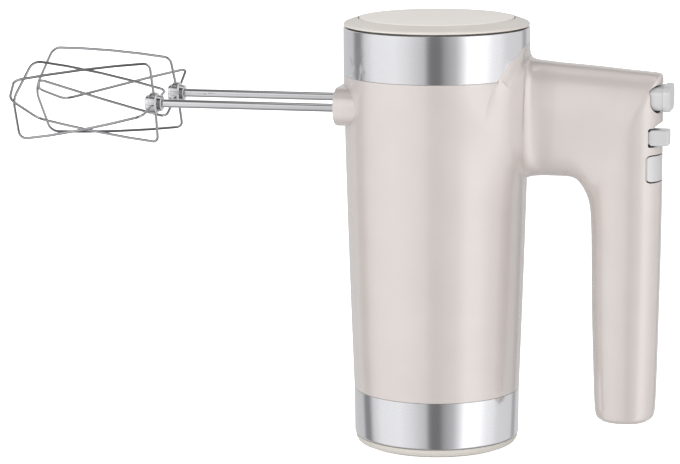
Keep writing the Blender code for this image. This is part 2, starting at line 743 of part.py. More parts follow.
def armature_outline():
    """Twelve slots with narrow mouths round the armature."""
    slots = 12
    points = []
    for i in range(slots):
        a = 360.0 * i / slots
        points += [polar(ARMATURE_R, a - 12.0), polar(ARMATURE_R, a), polar(ARMATURE_R, a + 12.0)]
        points += [polar(10.0 * MM, a + 11.0), polar(10.0 * MM, a + 19.0)]
    return points


def commutator(bore):
    profile = [(9.0 * MM, 64.0 * MM), (9.0 * MM, 52.0 * MM), (bore, 52.0 * MM), (bore, 68.0 * MM)]
    profile += [(10.4 * MM, 68.0 * MM), (10.4 * MM, 64.0 * MM)]
    return turned("commutator", profile, COPPER, steps=24, closed=True)


def fan(bore):
    """A disc on a hub with radial blades above it."""
    profile = [
        (7.0 * MM, FAN_Z + 8.0 * MM),
        (7.0 * MM, FAN_Z + 1.6 * MM),
        (FAN_R, FAN_Z + 1.6 * MM),
        (FAN_R, FAN_Z),
        (bore, FAN_Z),
        (bore, FAN_Z + 8.0 * MM),
    ]
    wheel = turned("cooling_fan", profile, BLACK, steps=32, closed=True)
    blades = 9
    for i in range(blades):
        mesh = bpy.data.meshes.new("fan_blade_%d" % i)
        bm = bmesh.new()
        size = Matrix.Diagonal((18.5 * MM, 1.2 * MM, 7.0 * MM, 1.0))
        bmesh.ops.create_cube(bm, size=1.0, matrix=Matrix.Translation((15.5 * MM, 0.0, FAN_Z + 4.5 * MM)) @ size)
        bm.to_mesh(mesh)
        bm.free()
        blade = place("fan_blade_%d" % i, mesh, None, rotation=(0.0, 0.0, 2.0 * math.pi * i / blades))
        join(wheel, blade)
    return wheel


# ---------------------------------------------------------------- drive

def worm(bore):
    """A two-start thread: rows follow the helix and the ends are cut flat."""
    columns = 18
    thread = [
        (-0.13, WORM_R + ADDENDUM),
        (0.13, WORM_R + ADDENDUM),
        (0.25, WORM_R - DEDENDUM + 0.4 * MM),
        (0.75, WORM_R - DEDENDUM + 0.4 * MM),
    ]
    turns = int(WORM_LENGTH / PITCH) + 5
    start_z = SPINDLE_Z - PITCH * (turns // 2) - LEAD / 2.0
    rows = [(start_z + PITCH * (n + offset), radius) for n in range(turns) for offset, radius in thread]
    shift = WORM_STARTS * len(thread)
    mesh = bpy.data.meshes.new("worm")
    bm = bmesh.new()
    grid = []
    for k in range(columns):
        angle = 2.0 * math.pi * k / columns
        azimuth = angle - math.pi / 2.0
        rise = LEAD * k / columns
        column = []
        for z, radius in rows:
            column.append(bm.verts.new((radius * math.cos(azimuth), radius * math.sin(azimuth), z + rise)))
        grid.append(column)
    count = len(rows)
    seam = grid[0][shift:]
    for k in range(columns):
        here = grid[k]
        there = grid[k + 1] if k + 1 < columns else seam
        for j in range(min(len(here), len(there)) - 1):
            bm.faces.new((here[j], there[j], there[j + 1], here[j + 1]))
    top = bm.verts.new((0.0, 0.0, rows[-1][0] + LEAD))
    bottom = bm.verts.new((0.0, 0.0, rows[0][0]))
    loose = [edge for edge in bm.edges if len(edge.link_faces) == 1]
    middle_z = (rows[0][0] + rows[-1][0] + LEAD) / 2.0
    for edge in loose:
        tip = top if edge.verts[0].co.z > middle_z else bottom
        bm.faces.new((edge.verts[0], edge.verts[1], tip))
    bmesh.ops.recalc_face_normals(bm, faces=bm.faces)
    bm.to_mesh(mesh)
    bm.free()
    obj = place("worm", mesh, STEEL)
    keep = tube("worm_blank", 8.0 * MM, bore, SPINDLE_Z - WORM_LENGTH / 2.0,
                SPINDLE_Z + WORM_LENGTH / 2.0, None, steps=24)
    boolean(obj, keep, "INTERSECT")
    return obj


def wheel_outline():
    """Trapezoid teeth with a gap centred on the angle 0."""
    points = []
    step = 360.0 / WHEEL_TEETH
    root = WHEEL_R - DEDENDUM
    tip = WHEEL_R + 0.6 * MM
    for i in range(WHEEL_TEETH):
        a = step * (i + 0.5)
        points += [polar(root, a - step * 0.28), polar(tip, a - step * 0.14)]
        points += [polar(tip, a + step * 0.14), polar(root, a + step * 0.28)]
    return points


def worm_wheel(name, side):
    """A helical wheel, twisted along X to suit the worm's lead angle."""
    lead_slope = LEAD / (2.0 * math.pi * WORM_R)
    twist = WHEEL_WIDTH * lead_slope / WHEEL_R
    at = (0.0, side * SPINDLE_Y, SPINDLE_Z)
    obj = plate(name, [wheel_outline(), circle(SPINDLE_R + GAP, 20)], WHEEL_WIDTH, NYLON, at, OUTLINE_YZ)
    bm = bmesh.new()
    bm.from_mesh(obj.data)
    for vertex in bm.verts:
        turn = twist * vertex.co.z / WHEEL_WIDTH
        vertex.co = Matrix.Rotation(turn, 3, "Z") @ vertex.co
    bm.to_mesh(obj.data)
    bm.free()
    return obj


def spindle(name, side):
    """The hollow spindle that a beater's shaft is pushed into."""
    at = (0.0, side * SPINDLE_Y, SPINDLE_Z)
    front = NOSE_X + WALL + GAP
    return tube(name, SPINDLE_R, SPINDLE_BORE_R, front, SPINDLE_BACK_X, STEEL, at, AXIS_X, 20)


def gear_frame():
    """The frame over the motor: a disc, two bearing plates and a bridge."""
    low, high = 146.0 * MM, 150.0 * MM
    frame = tube("gear_frame", 41.0 * MM, 7.8 * MM, low, high, ALUMINIUM, steps=40)
    for i, (x0, x1) in enumerate(((-11.4, -8.4), (8.4, 11.4))):
        wall = box("frame_wall_%d" % i, (x0 * MM, -29.0 * MM, 148.0 * MM), (x1 * MM, 29.0 * MM, 193.0 * MM), None)
        join(frame, wall)
    bridge = box("frame_bridge", (-10.0 * MM, -8.0 * MM, 189.4 * MM), (10.0 * MM, 8.0 * MM, 193.0 * MM), None)
    join(frame, bridge)
    for side in (-1, 1):
        x = sorted((side * 30.5 * MM, side * 35.0 * MM))
        leg = box("frame_leg_%d" % side, (x[0], -5.0 * MM, STATOR_Z[1] + GAP), (x[1], 5.0 * MM, 148.0 * MM), None)
        join(frame, leg)
    for side in (-1, 1):
        at = (0.0, side * SPINDLE_Y, SPINDLE_Z)
        name = "frame_bore_%d" % side
        cut(frame, rod(name, SPINDLE_R + GAP, -20.0 * MM, 20.0 * MM, None, at, AXIS_X, 20))
    cut(frame, rod("bush_bore", 4.8 * MM, 185.0 * MM, 200.0 * MM, None, steps=20))
    tube("middle_bearing", 7.5 * MM, MOTOR_SHAFT_R + GAP, 144.5 * MM, 150.0 * MM, STEEL, steps=20)
    tube("top_bush", 4.5 * MM, MOTOR_SHAFT_R + GAP, 188.8 * MM, 193.6 * MM, BRONZE, steps=20)


def drive():
    for side, name in ((-1, "left"), (1, "right")):
        at = (0.0, side * SPINDLE_Y, SPINDLE_Z)
        wheel = worm_wheel("worm_wheel_" + name, side)
        hollow = spindle("spindle_" + name, side)
        axis_empty("spindle_axis_" + name, at, wheel, hollow)
        tube("front_bush_" + name, 6.1 * MM, SPINDLE_R + GAP, -43.9 * MM, -38.5 * MM, BRONZE, at, AXIS_X, 20)


# ---------------------------------------------------------------- ejector

def ejector():
    """Button, push rod with fork, and the pins that push the beaters out."""
    fork_x = 22.3 * MM
    fork = box("ejector_fork", (fork_x, -24.5 * MM, 168.2 * MM), (fork_x + 2.8 * MM, 24.5 * MM, 182.5 * MM), NYLON)
    push = rod("push_rod", 2.5 * MM, fork_x + 1.0 * MM, 99.7 * MM, None, (0.0, 0.0, EJECT_Z), AXIS_X, 16)
    join(fork, push)
    button = eject_button()
    axis_empty("ejector_axis", (fork_x, 0.0, EJECT_Z), fork, button)
    turns = 4
    spring("ejector_spring", (86.8 * MM, 0.0, EJECT_Z), 12.6 * MM, 4.1 * MM, 0.45 * MM, turns)
    for side, name in ((-1, "left"), (1, "right")):
        profile = [
            (0.0, 22.0 * MM),
            (3.3 * MM, 22.0 * MM),
            (3.3 * MM, 19.6 * MM),
            (2.1 * MM, 19.6 * MM),
            (2.1 * MM, BEATER_INNER_X + GAP),
            (0.0, BEATER_INNER_X + GAP),
        ]
        at = (0.0, side * SPINDLE_Y, SPINDLE_Z)
        turned("ejector_pin_" + name, profile, STEEL, at, AXIS_X, 16)


def eject_button():
    """A slot-shaped stem with a slightly wider head."""
    head_x = 114.2 * MM
    tip_x = 117.9 * MM
    stem_size = shrunk(EJECT_SLOT, 1.0 * MM)
    head_size = shrunk(EJECT_SLOT, 0.4 * MM)
    button = slot_prism("eject_button", EJECT_Z, stem_size, 4.0 * MM, 100.0 * MM, tip_x - 1.0 * MM, SILVER)
    join(button, slot_prism("eject_head", EJECT_Z, head_size, 4.6 * MM, head_x, tip_x))
    return button


def spring(name, start, length, radius, wire_radius, turns):
    """A compression spring along +X."""
    per_turn = 8
    count = turns * per_turn
    points = []
    for i in range(count + 1):
        angle = 2.0 * math.pi * i / per_turn
        x = wire_radius + (length - 2.0 * wire_radius) * i / count
        points.append((x, radius * math.cos(angle), radius * math.sin(angle)))
    return wire(name, points, wire_radius, STEEL, start)


# ---------------------------------------------------------------- controls and power

def controls():
    """Board, switches and the two lower controls on the handle's back."""
    box("control_board", (86.6 * MM, -11.0 * MM, 130.0 * MM), (88.2 * MM, 11.0 * MM, 166.0 * MM), BOARD)
    box("speed_switch", (88.5 * MM, -10.5 * MM, SPEED_Z - 5.0 * MM), (99.5 * MM, 10.5 * MM, SPEED_Z + 5.0 * MM),
        BLACK, 0.6 * MM)
    box("turbo_switch", (88.5 * MM, -5.0 * MM, TURBO_Z - 5.5 * MM), (96.5 * MM, 5.0 * MM, TURBO_Z + 5.0 * MM),
        BLACK, 0.6 * MM)
    spring("turbo_spring", (96.8 * MM, 0.0, TURBO_Z), 6.4 * MM, 3.0 * MM, 0.35 * MM, 3)
    near = KNOB_END_GAP - SPEED_SLOT[0]
    half_height = SPEED_SLOT[1] - 0.8 * MM
    knob = box("speed_knob", (100.0 * MM, near, SPEED_Z - half_height),
               (117.6 * MM, near + KNOB_WIDTH, SPEED_Z + half_height), SILVER, 0.7 * MM)
    axis_empty("speed_axis", (BACK_X, near + KNOB_WIDTH / 2.0, SPEED_Z), knob)
    axis_empty("turbo_axis", (BACK_X, 0.0, TURBO_Z), turbo_button())


def turbo_button():
    """A pad flush with the handle's back, cut from the handle's own surface."""
    size = shrunk(TURBO_SLOT, 0.45 * MM)
    button = slot_prism("turbo_button", TURBO_Z, size, 1.6 * MM, 103.5 * MM, 120.0 * MM, SILVER)
    boolean(button, handle_solid("handle_skin", 0.0, 15, 21), "INTERSECT")
    return button


def power_inlet():
    """A socket in the grip's lower end with two contact pins."""
    low_z, roof_z, high_z = 15.9 * MM, 26.0 * MM, 29.0 * MM
    outer = rounded_rect(10.0 * MM, 7.0 * MM, 2.7 * MM)
    at = (GRIP_MID_X, 0.0, (low_z + high_z) / 2.0)
    socket = plate("power_inlet", [outer], high_z - low_z, BLACK, at)
    recess = rounded_rect(7.8 * MM, 4.6 * MM, 2.2 * MM)
    at = (GRIP_MID_X, 0.0, (low_z + roof_z) / 2.0 - 2.0 * MM)
    cut(socket, plate("inlet_recess", [recess], roof_z - low_z + 4.0 * MM, None, at))
    for side, name in ((-1, "front"), (1, "rear")):
        at = (GRIP_MID_X + side * 4.3 * MM, 0.0, 0.0)
        cut(socket, rod("pin_hole_" + name, 1.5 * MM, 20.0 * MM, 35.0 * MM, None, at, AXIS_Z, 12))
        rod("inlet_pin_" + name, 1.2 * MM, 18.0 * MM, 33.0 * MM, CHROME, at, AXIS_Z, 12)


# ---------------------------------------------------------------- beaters

def filleted(points, radii, count):
    """Round the corners of a 3D polyline that have a radius with arcs of count steps."""
    path = [points[0]]
    for i in range(1, len(points) - 1):
        if radii[i - 1] == 0.0:
            path.append(points[i])
            continue
        before = (points[i - 1] - points[i]).normalized()
        after = (points[i + 1] - points[i]).normalized()
        half = before.angle(after) / 2.0
        reach = radii[i - 1] / math.tan(half)
        start = points[i] + before * reach
        end = points[i] + after * reach
        bisector = (before + after).normalized()
        centre = points[i] + bisector * (radii[i - 1] / math.sin(half))
        for k in range(count + 1):
            t = k / count
            spoke = (start - centre).slerp(end - centre, t)
            path.append(centre + spoke.normalized() * radii[i - 1])
    path.append(points[-1])
    return path


def cage_point(x, radius, phase_deg):
    a = math.radians(phase_deg)
    return Vector((x, radius * math.sin(a), radius * math.cos(a)))


def cage_side(hub_phase, tip_phase):
    """One long side of a loop, a helix from the hub's shoulder to the tip's."""
    pieces = 4
    side = []
    for i in range(pieces + 1):
        t = i / pieces
        x = CAGE_SHOULDER_X + (TIP_SHOULDER_X - CAGE_SHOULDER_X) * t
        side.append(cage_point(x, CAGE_R, hub_phase + (tip_phase - hub_phase) * t))
    return side


def loop_path(hub_phase, tip_phase, tip_x):
    """One wire: out of the hub, along the cage, round the tip and back."""
    start_r = HUB_R + GAP
    out = cage_side(hub_phase, tip_phase)
    back = cage_side(hub_phase + 180.0, tip_phase + 180.0)
    back.reverse()
    points = [cage_point(HUB_X, start_r, hub_phase), *out, cage_point(tip_x, 0.0, 0.0)]
    points += [*back, cage_point(HUB_X, start_r, hub_phase + 180.0)]
    straight = [0.0] * (len(out) - 2)
    radii = [HUB_BEND, *straight, SIDE_BEND, TIP_BEND, SIDE_BEND, *straight, HUB_BEND]
    return filleted(points, radii, 4)


def beater(name, side, loops):
    """A shaft, its stepped hub collar and two crossing wire loops."""
    at = (0.0, side * SPINDLE_Y, SPINDLE_Z)
    shaft = [(0.0, BEATER_INNER_X), (SHAFT_R - 0.6 * MM, BEATER_INNER_X), (SHAFT_R, BEATER_INNER_X - 1.2 * MM)]
    back = HUB_X - HUB_LENGTH / 2.0 - 0.2 * MM
    shaft += [(SHAFT_R, back + 0.6 * MM), (SHAFT_R - 0.6 * MM, back), (0.0, back)]
    parts = [turned(name + "_shaft", shaft, CHROME, at, AXIS_X, 20)]
    low, high = HUB_X - HUB_LENGTH / 2.0, HUB_X + HUB_LENGTH / 2.0
    collar = [
        (HUB_R - 1.6 * MM, high),
        (HUB_R - 1.2 * MM, high - 2.4 * MM),
        (HUB_R, high - 2.8 * MM),
        (HUB_R, low + 2.4 * MM),
        (HUB_R - 1.0 * MM, low + 2.0 * MM),
        (HUB_R - 1.4 * MM, low),
        (SHAFT_R + GAP, low),
        (SHAFT_R + GAP, high),
    ]
    parts.append(turned(name + "_hub", collar, CHROME, at, AXIS_X, 16, closed=True))
    for i, (hub_phase, tip_phase) in enumerate(loops):
        path = loop_path(hub_phase, tip_phase, TIP_X + TIP_STEP * i)
        parts.append(wire("%s_loop_%s" % (name, "ab"[i]), path, WIRE_R, CHROME, at))
    axis_empty(name + "_axis", at, *parts)


# ---------------------------------------------------------------- assembly

def build():
    housing_halves()
    rings()
    cap()
    foot()
    housing_screws()
    stator()
    end_bracket()
    brushes()
    armature()
    gear_frame()
    drive()
    ejector()
    controls()
    power_inlet()
    beater("beater_left", -1, LEFT_LOOPS)
    beater("beater_right", 1, RIGHT_LOOPS)


build()
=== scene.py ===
"""Hand mixer, studio scene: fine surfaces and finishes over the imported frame."""

import json
import math

import bmesh
import bpy
from mathutils import Matrix, Vector
from mathutils.bvhtree import BVHTree
from mathutils.interpolate import poly_3d_calc


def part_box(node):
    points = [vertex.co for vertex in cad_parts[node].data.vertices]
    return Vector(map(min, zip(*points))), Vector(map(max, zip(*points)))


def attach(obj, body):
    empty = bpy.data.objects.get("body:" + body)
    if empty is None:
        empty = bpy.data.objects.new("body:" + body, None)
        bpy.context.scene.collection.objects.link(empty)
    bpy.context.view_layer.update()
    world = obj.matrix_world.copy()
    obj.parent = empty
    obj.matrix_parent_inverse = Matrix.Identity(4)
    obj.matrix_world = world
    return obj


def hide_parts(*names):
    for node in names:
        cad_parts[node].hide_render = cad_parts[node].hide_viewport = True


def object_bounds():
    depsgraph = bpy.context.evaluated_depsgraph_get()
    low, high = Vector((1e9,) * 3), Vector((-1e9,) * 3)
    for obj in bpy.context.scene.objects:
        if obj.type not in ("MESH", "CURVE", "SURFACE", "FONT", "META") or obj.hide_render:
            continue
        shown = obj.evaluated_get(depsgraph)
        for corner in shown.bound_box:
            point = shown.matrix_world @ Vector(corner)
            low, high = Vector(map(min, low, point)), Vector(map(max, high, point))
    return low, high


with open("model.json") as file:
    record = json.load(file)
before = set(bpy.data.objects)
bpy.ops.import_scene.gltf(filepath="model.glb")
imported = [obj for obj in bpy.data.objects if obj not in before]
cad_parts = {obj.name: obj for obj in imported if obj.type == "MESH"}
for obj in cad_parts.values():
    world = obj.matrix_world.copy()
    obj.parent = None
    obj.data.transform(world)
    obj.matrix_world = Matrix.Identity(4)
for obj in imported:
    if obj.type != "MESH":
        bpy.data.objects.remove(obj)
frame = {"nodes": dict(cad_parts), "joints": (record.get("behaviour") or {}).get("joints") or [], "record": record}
CAD_LOW, CAD_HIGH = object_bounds()

MM = 0.001
GAP = 0.3 * MM

# Sizes of the housing that the frame doesn't give directly
BARREL_TAPER_POWER = 1.3
WALL = 2.4 * MM
NOSE_Z = 173.0 * MM
NOSE_BACK_X = -15.0 * MM
HANDLE_POWER = 2.2
HANDLE_POINTS = 96
HANDLE_ROWS_BETWEEN = 6
BARREL_STEPS = 192
SEAM = 0.12 * MM
RIM = 0.15 * MM

# Openings: how far in they start, and a point outside the handle
EJECT_DEPTH_X = 94.5 * MM
SPEED_DEPTH_X = 99.5 * MM
TURBO_DEPTH_X = 100.5 * MM
OUTSIDE_X = 125.0 * MM
BEATER_HOLE_R = 2.9 * MM
SCREW_POCKET_R = 3.2 * MM

# Shading: where normals count as sharp, and how those of the shell are lent and blended
SHARP_DEG = 30.0
SKIN_SHARP_DEG = 40.0
SKIN_CORNERS = 8
ON_SKIN = 0.004 * MM
EDGE_PULL = 0.05
BLEND = 20.0 * MM
FLARE_SOFTNESS = 0.6

# Handle: inner point (x, z), outer point (x, z) and half width of each section, in mm,
# and the height at which its hollow ends.
HANDLE_SECTIONS = [
    (26.0, 133.0, 26.0, 207.0, 36.0),
    (35.5, 134.0, 35.5, 208.3, 32.5),
    (41.0, 135.0, 41.0, 207.4, 28.5),
    (44.0, 136.0, 44.0, 206.2, 24.8),
    (46.9, 137.1, 46.9, 204.0, 20.4),
    (47.5, 137.3, 47.5, 197.9, 19.2),
    (48.5, 137.6, 48.5, 197.1, 18.4),
    (50.5, 137.9, 50.5, 196.4, 17.4),
    (56.0, 138.2, 56.0, 195.8, 16.2),
    (63.0, 138.2, 64.0, 195.0, 15.6),
    (67.5, 138.0, 74.0, 194.3, 15.5),
    (71.0, 136.8, 86.0, 193.3, 15.5),
    (73.6, 133.9, 98.0, 192.2, 15.5),
    (75.6, 130.5, 107.5, 191.4, 15.5),
    (76.4, 128.6, 112.3, 190.7, 15.5),
    (77.1, 126.5, 113.4, 188.6, 15.5),
    (77.9, 122.5, 113.5, 176.0, 15.5),
    (78.4, 116.0, 113.5, 157.0, 15.5),
    (78.7, 108.0, 113.5, 136.0, 15.5),
    (78.9, 95.0, 113.3, 105.0, 15.5),
    (79.3, 72.0, 112.8, 76.0, 15.3),
    (80.2, 45.0, 112.2, 45.0, 15.1),
    (81.3, 21.0, 111.4, 21.0, 14.8),
    (82.0, 17.6, 110.7, 17.8, 14.2),
    (84.2, 15.6, 108.2, 15.6, 12.2),
]
CAVITY_TOP = 196.4

# Flare of the handle: height of its edge on the barrel by angle from +X, in degrees and mm,
# and the (radius, height) fillet in which it runs out at 0 degrees, in mm.
FLARE_EDGE = [
    (0.0, 204.1),
    (5.8, 203.8),
    (11.5, 201.8),
    (18.7, 199.5),
    (23.4, 197.9),
    (28.5, 194.9),
    (33.0, 192.0),
    (37.0, 194.5),
]
FLARE_FILLET = [
    (46.65, 225.0),
    (46.65, 206.0),
    (46.75, 202.0),
    (47.0, 199.0),
    (47.6, 198.0),
    (48.55, 197.3),
    (50.5, 196.6),
    (54.0, 196.3),
    (70.0, 196.3),
    (70.0, 225.0),
]

# Loops of the beaters: phase at the hub and at the tip, in degrees from +Z towards +Y
LEFT_LOOPS = ((-17.0, -56.0), (80.0, 32.0))
RIGHT_LOOPS = ((-28.0, 9.5), (63.0, 111.0))
CAGE_R = 21.9 * MM
CAGE_SHOULDER_X = -141.5 * MM
TIP_SHOULDER_X = -209.0 * MM
TIP_X = -218.3 * MM
TIP_STEP = 2.1 * MM
WIRE_R = 0.7 * MM
EASY_BEND = 30.0 * MM
HUB_BEND = 3.3 * MM
SIDE_BEND = 6.0 * MM
TIP_BEND = 13.0 * MM

# Camera
VIEW_YAW_DEG = 13.222
VIEW_PITCH_DEG = 10.380
VIEW_ROLL_DEG = -0.342
VIEW_FROM = (286.921 * MM, -1434.421 * MM, 375.561 * MM)
VIEW_LENS_MM = 156.01

# What polished surfaces mirror: brightness by compass direction, in degrees to the right of the camera
SURROUND = [
    (-180.0, 0.62),
    (-128.0, 0.56),
    (-120.0, 0.24),
    (-110.0, 0.24),
    (-102.0, 0.62),
    (-86.0, 0.82),
    (-55.0, 0.86),
    (-36.0, 0.72),
    (-17.0, 0.52),
    (-13.0, 0.26),
    (-9.0, 0.17),
    (2.0, 0.17),
    (8.0, 0.32),
    (22.0, 0.50),
    (30.0, 0.80),
    (38.0, 1.2),
    (56.0, 1.2),
    (72.0, 0.9),
    (82.0, 0.84),
    (94.0, 0.68),
    (126.0, 0.64),
    (131.0, 0.38),
    (138.0, 0.38),
    (144.0, 0.62),
    (180.0, 0.62),
]
# and by height, as the sine of the elevation
HEIGHTS = [
    (-1.0, 0.35),
    (-0.92, 0.45),
    (-0.7, 0.95),
    (-0.35, 1.0),
    (0.0, 1.0),
    (0.3, 1.15),
    (0.68, 1.1),
    (0.78, 0.2),
    (0.92, 0.2),
    (0.97, 0.9),
    (1.0, 0.9),
]
FILL = 1.25
FLOOR_GLOW = 0.7

# Soft light from the front: place, aim, size in metres and power in watts
LIGHT_FROM = (-0.1, -1.6, 0.75)
LIGHT_AT = (0.0, 0.0, 0.11)
LIGHT_SIZE = (1.4, 1.1)
LIGHT_POWER = 17.0

# Clear coat of the lacquers
COAT_ROUGHNESS = 0.06
COAT_IOR = 1.7

AXIS_X = Matrix.Rotation(math.pi / 2.0, 4, "Y")
AXIS_Y = Matrix.Rotation(-math.pi / 2.0, 4, "X")
OUTLINE_YZ = Matrix.Rotation(math.pi / 2.0, 4, "Z") @ Matrix.Rotation(math.pi / 2.0, 4, "X")


def centre_of(node):
    low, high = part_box(node)
    return (low + high) / 2.0


RING_TOP_LOW, RING_TOP_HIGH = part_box("top_ring")
RING_FOOT_LOW, RING_FOOT_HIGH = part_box("bottom_ring")
TOP_RING_Z = RING_TOP_LOW.z - GAP
CAP_Z = RING_TOP_HIGH.z + GAP
BOTTOM_RING_Z = RING_FOOT_HIGH.z + GAP
FOOT_Z = RING_FOOT_LOW.z
BARREL_R_TOP = -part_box("housing_left")[0].y
BARREL_R_BOTTOM = RING_FOOT_HIGH.x
RING_THICKNESS = 2.3 * MM
SPINDLE_AXIS = centre_of("spindle_left")
SPINDLE_Y = abs(SPINDLE_AXIS.y)
SPINDLE_Z = SPINDLE_AXIS.z
NOSE_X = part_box("housing_left")[0].x
NOSE_HALF_HEIGHT = 9.7 * MM
SHAFT_R = (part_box("beater_left_shaft")[1].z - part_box("beater_left_shaft")[0].z) / 2.0
HUB_LOW, HUB_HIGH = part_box("beater_left_hub")
HUB_X = (HUB_LOW.x + HUB_HIGH.x) / 2.0
HUB_R = (HUB_HIGH.z - HUB_LOW.z) / 2.0


# ---------------------------------------------------------------- shape tools

def mesh_from(name, vertices, faces):
    mesh = bpy.data.meshes.new(name)
    mesh.from_pydata(vertices, [], faces)
    bm = bmesh.new()
    bm.from_mesh(mesh)
    bmesh.ops.remove_doubles(bm, verts=bm.verts, dist=0.0000005)
    bmesh.ops.recalc_face_normals(bm, faces=bm.faces)
    bm.to_mesh(mesh)
    bm.free()
    return mesh


def solid(name, mesh, matrix=None):
    """An object with its place baked into its mesh."""
    if matrix is not None:
        mesh.transform(matrix)
    obj = bpy.data.objects.new(name, mesh)
    bpy.context.scene.collection.objects.link(obj)
    return obj


def rounded(points, radii, count=4, closed=True):
    """A 2D outline with its corners rounded; a radius of 0 keeps the corner."""
    path = []
    total = len(points)
    for i, (x, y) in enumerate(points):
        here = Vector((x, y))
        ends = not closed and i in (0, total - 1)
        if radii[i] == 0.0 or ends:
            path.append((x, y))
            continue
        before = Vector(points[i - 1]) - here
        after = Vector(points[(i + 1) % total]) - here
        half = before.angle(after) / 2.0
        reach = radii[i] / math.tan(half)
        centre = here + (before.normalized() + after.normalized()).normalized() * radii[i] / math.sin(half)
        start = here + before.normalized() * reach - centre
        sweep = math.pi - 2.0 * half
        turn = math.copysign(1.0, before.x * after.y - before.y * after.x)
        for k in range(count + 1):
            angle = -turn * sweep * k / count
            c, s = math.cos(angle), math.sin(angle)
            spoke = Vector((start.x * c - start.y * s, start.x * s + start.y * c))
            path.append(tuple(centre + spoke))
    return path


def turned(name, profile, steps=BARREL_STEPS, matrix=None):
    """A closed (radius, height) outline turned round Z."""
    vertices = []
    for k in range(steps):
        angle = 2.0 * math.pi * k / steps
        vertices += [(r * math.cos(angle), r * math.sin(angle), z) for r, z in profile]
    count = len(profile)
    faces = []
    for k in range(steps):
        a, b = k * count, (k + 1) % steps * count
        for i in range(count):
            j = (i + 1) % count
            if profile[i][0] == 0.0 and profile[j][0] == 0.0:
                continue
            corners = [a + i, b + i, b + j, a + j]
            if profile[i][0] == 0.0:
                corners = [a + i, b + j, a + j]
            if profile[j][0] == 0.0:
                corners = [a + i, b + i, a + j]
            faces.append(corners)
    return solid(name, mesh_from(name, vertices, faces), matrix)


def prism(name, outline, low, high, matrix=None, edge=0.0, segments=3):
    """A closed 2D outline drawn out along local Z, with bevelled rims."""
    count = len(outline)
    vertices = [(x, y, low) for x, y in outline] + [(x, y, high) for x, y in outline]
    faces = [tuple(range(count)), tuple(range(count, 2 * count))]
    for i in range(count):
        j = (i + 1) % count
        faces.append((i, j, count + j, count + i))
    mesh = mesh_from(name, vertices, faces)
    if edge > 0.0:
        bm = bmesh.new()
        bm.from_mesh(mesh)
        rims = [e for e in bm.edges if abs(e.verts[0].co.z - e.verts[1].co.z) < 0.000001]
        bmesh.ops.bevel(bm, geom=rims, offset=edge, segments=segments, affect="EDGES", profile=0.5)
        bm.to_mesh(mesh)
        bm.free()
    return solid(name, mesh, matrix)


def rounded_box(name, low, high, edge, segments=3):
    mesh = bpy.data.meshes.new(name)
    bm = bmesh.new()
    centre = (Vector(low) + Vector(high)) / 2.0
    size = Vector(high) - Vector(low)
    bmesh.ops.create_cube(bm, size=1.0, matrix=Matrix.Translation(centre) @ Matrix.Diagonal((*size, 1.0)))
    bmesh.ops.bevel(bm, geom=bm.edges[:], offset=edge, segments=segments, affect="EDGES", profile=0.5)
    bm.to_mesh(mesh)
    bm.free()
    return solid(name, mesh)


def rounded_rect(half_x, half_y, radius, count=6):
    corners = [(half_x, half_y), (-half_x, half_y), (-half_x, -half_y), (half_x, -half_y)]
    return rounded(corners, [radius] * 4, count)


def swept(name, path, radius, sides=16):
    """A round wire along a path, with flat ends."""
    rings = []
    tangent = (path[1] - path[0]).normalized()
    side = tangent.orthogonal().normalized()
    for i, point in enumerate(path):
        ahead = path[min(i + 1, len(path) - 1)] - path[max(i - 1, 0)]
        new_tangent = ahead.normalized()
        side = tangent.rotation_difference(new_tangent) @ side
        tangent = new_tangent
        up = tangent.cross(side)
        ring = []
        for k in range(sides):
            angle = 2.0 * math.pi * k / sides
            ring.append(point + side * radius * math.cos(angle) + up * radius * math.sin(angle))
        rings.append(ring)
    return solid(name, loft_mesh(name, rings))


def loft_mesh(name, rings):
    count = len(rings[0])
    vertices = [tuple(point) for ring in rings for point in ring]
    faces = []
    for row in range(len(rings) - 1):
        low, high = row * count, (row + 1) * count
        for i in range(count):
            j = (i + 1) % count
            faces.append((low + i, low + j, high + j, high + i))
    faces.append(tuple(range(count)))
    faces.append(tuple(range(len(vertices) - count, len(vertices))))
    return mesh_from(name, vertices, faces)


def boolean(obj, tools, operation):
    """Apply exact Booleans to obj and remove the tools."""
    for tool in tools:
        modifier = obj.modifiers.new("Boolean", "BOOLEAN")
        modifier.operation = operation
        modifier.object = tool
        modifier.solver = "EXACT"
    settle(obj)
    for tool in tools:
        bpy.data.objects.remove(tool, do_unlink=True)
    return obj


def settle(obj):
    """Apply all of an object's modifiers."""
    bpy.context.view_layer.update()
    evaluated = obj.evaluated_get(bpy.context.evaluated_depsgraph_get())
    mesh = bpy.data.meshes.new_from_object(evaluated)
    obj.modifiers.clear()
    obj.data = mesh
    return obj


def finished(obj, body, material, nodes, sharp_deg=SHARP_DEG):
    """Shade, paint and hand a piece to its body in place of its CAD nodes."""
    obj.data.materials.clear()
    obj.data.materials.append(material)
    obj.data.shade_smooth()
    obj.data.set_sharp_from_angle(angle=math.radians(sharp_deg))
    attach(obj, body)
    if nodes:
        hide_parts(*nodes)
    return obj


# ---------------------------------------------------------------- finishes

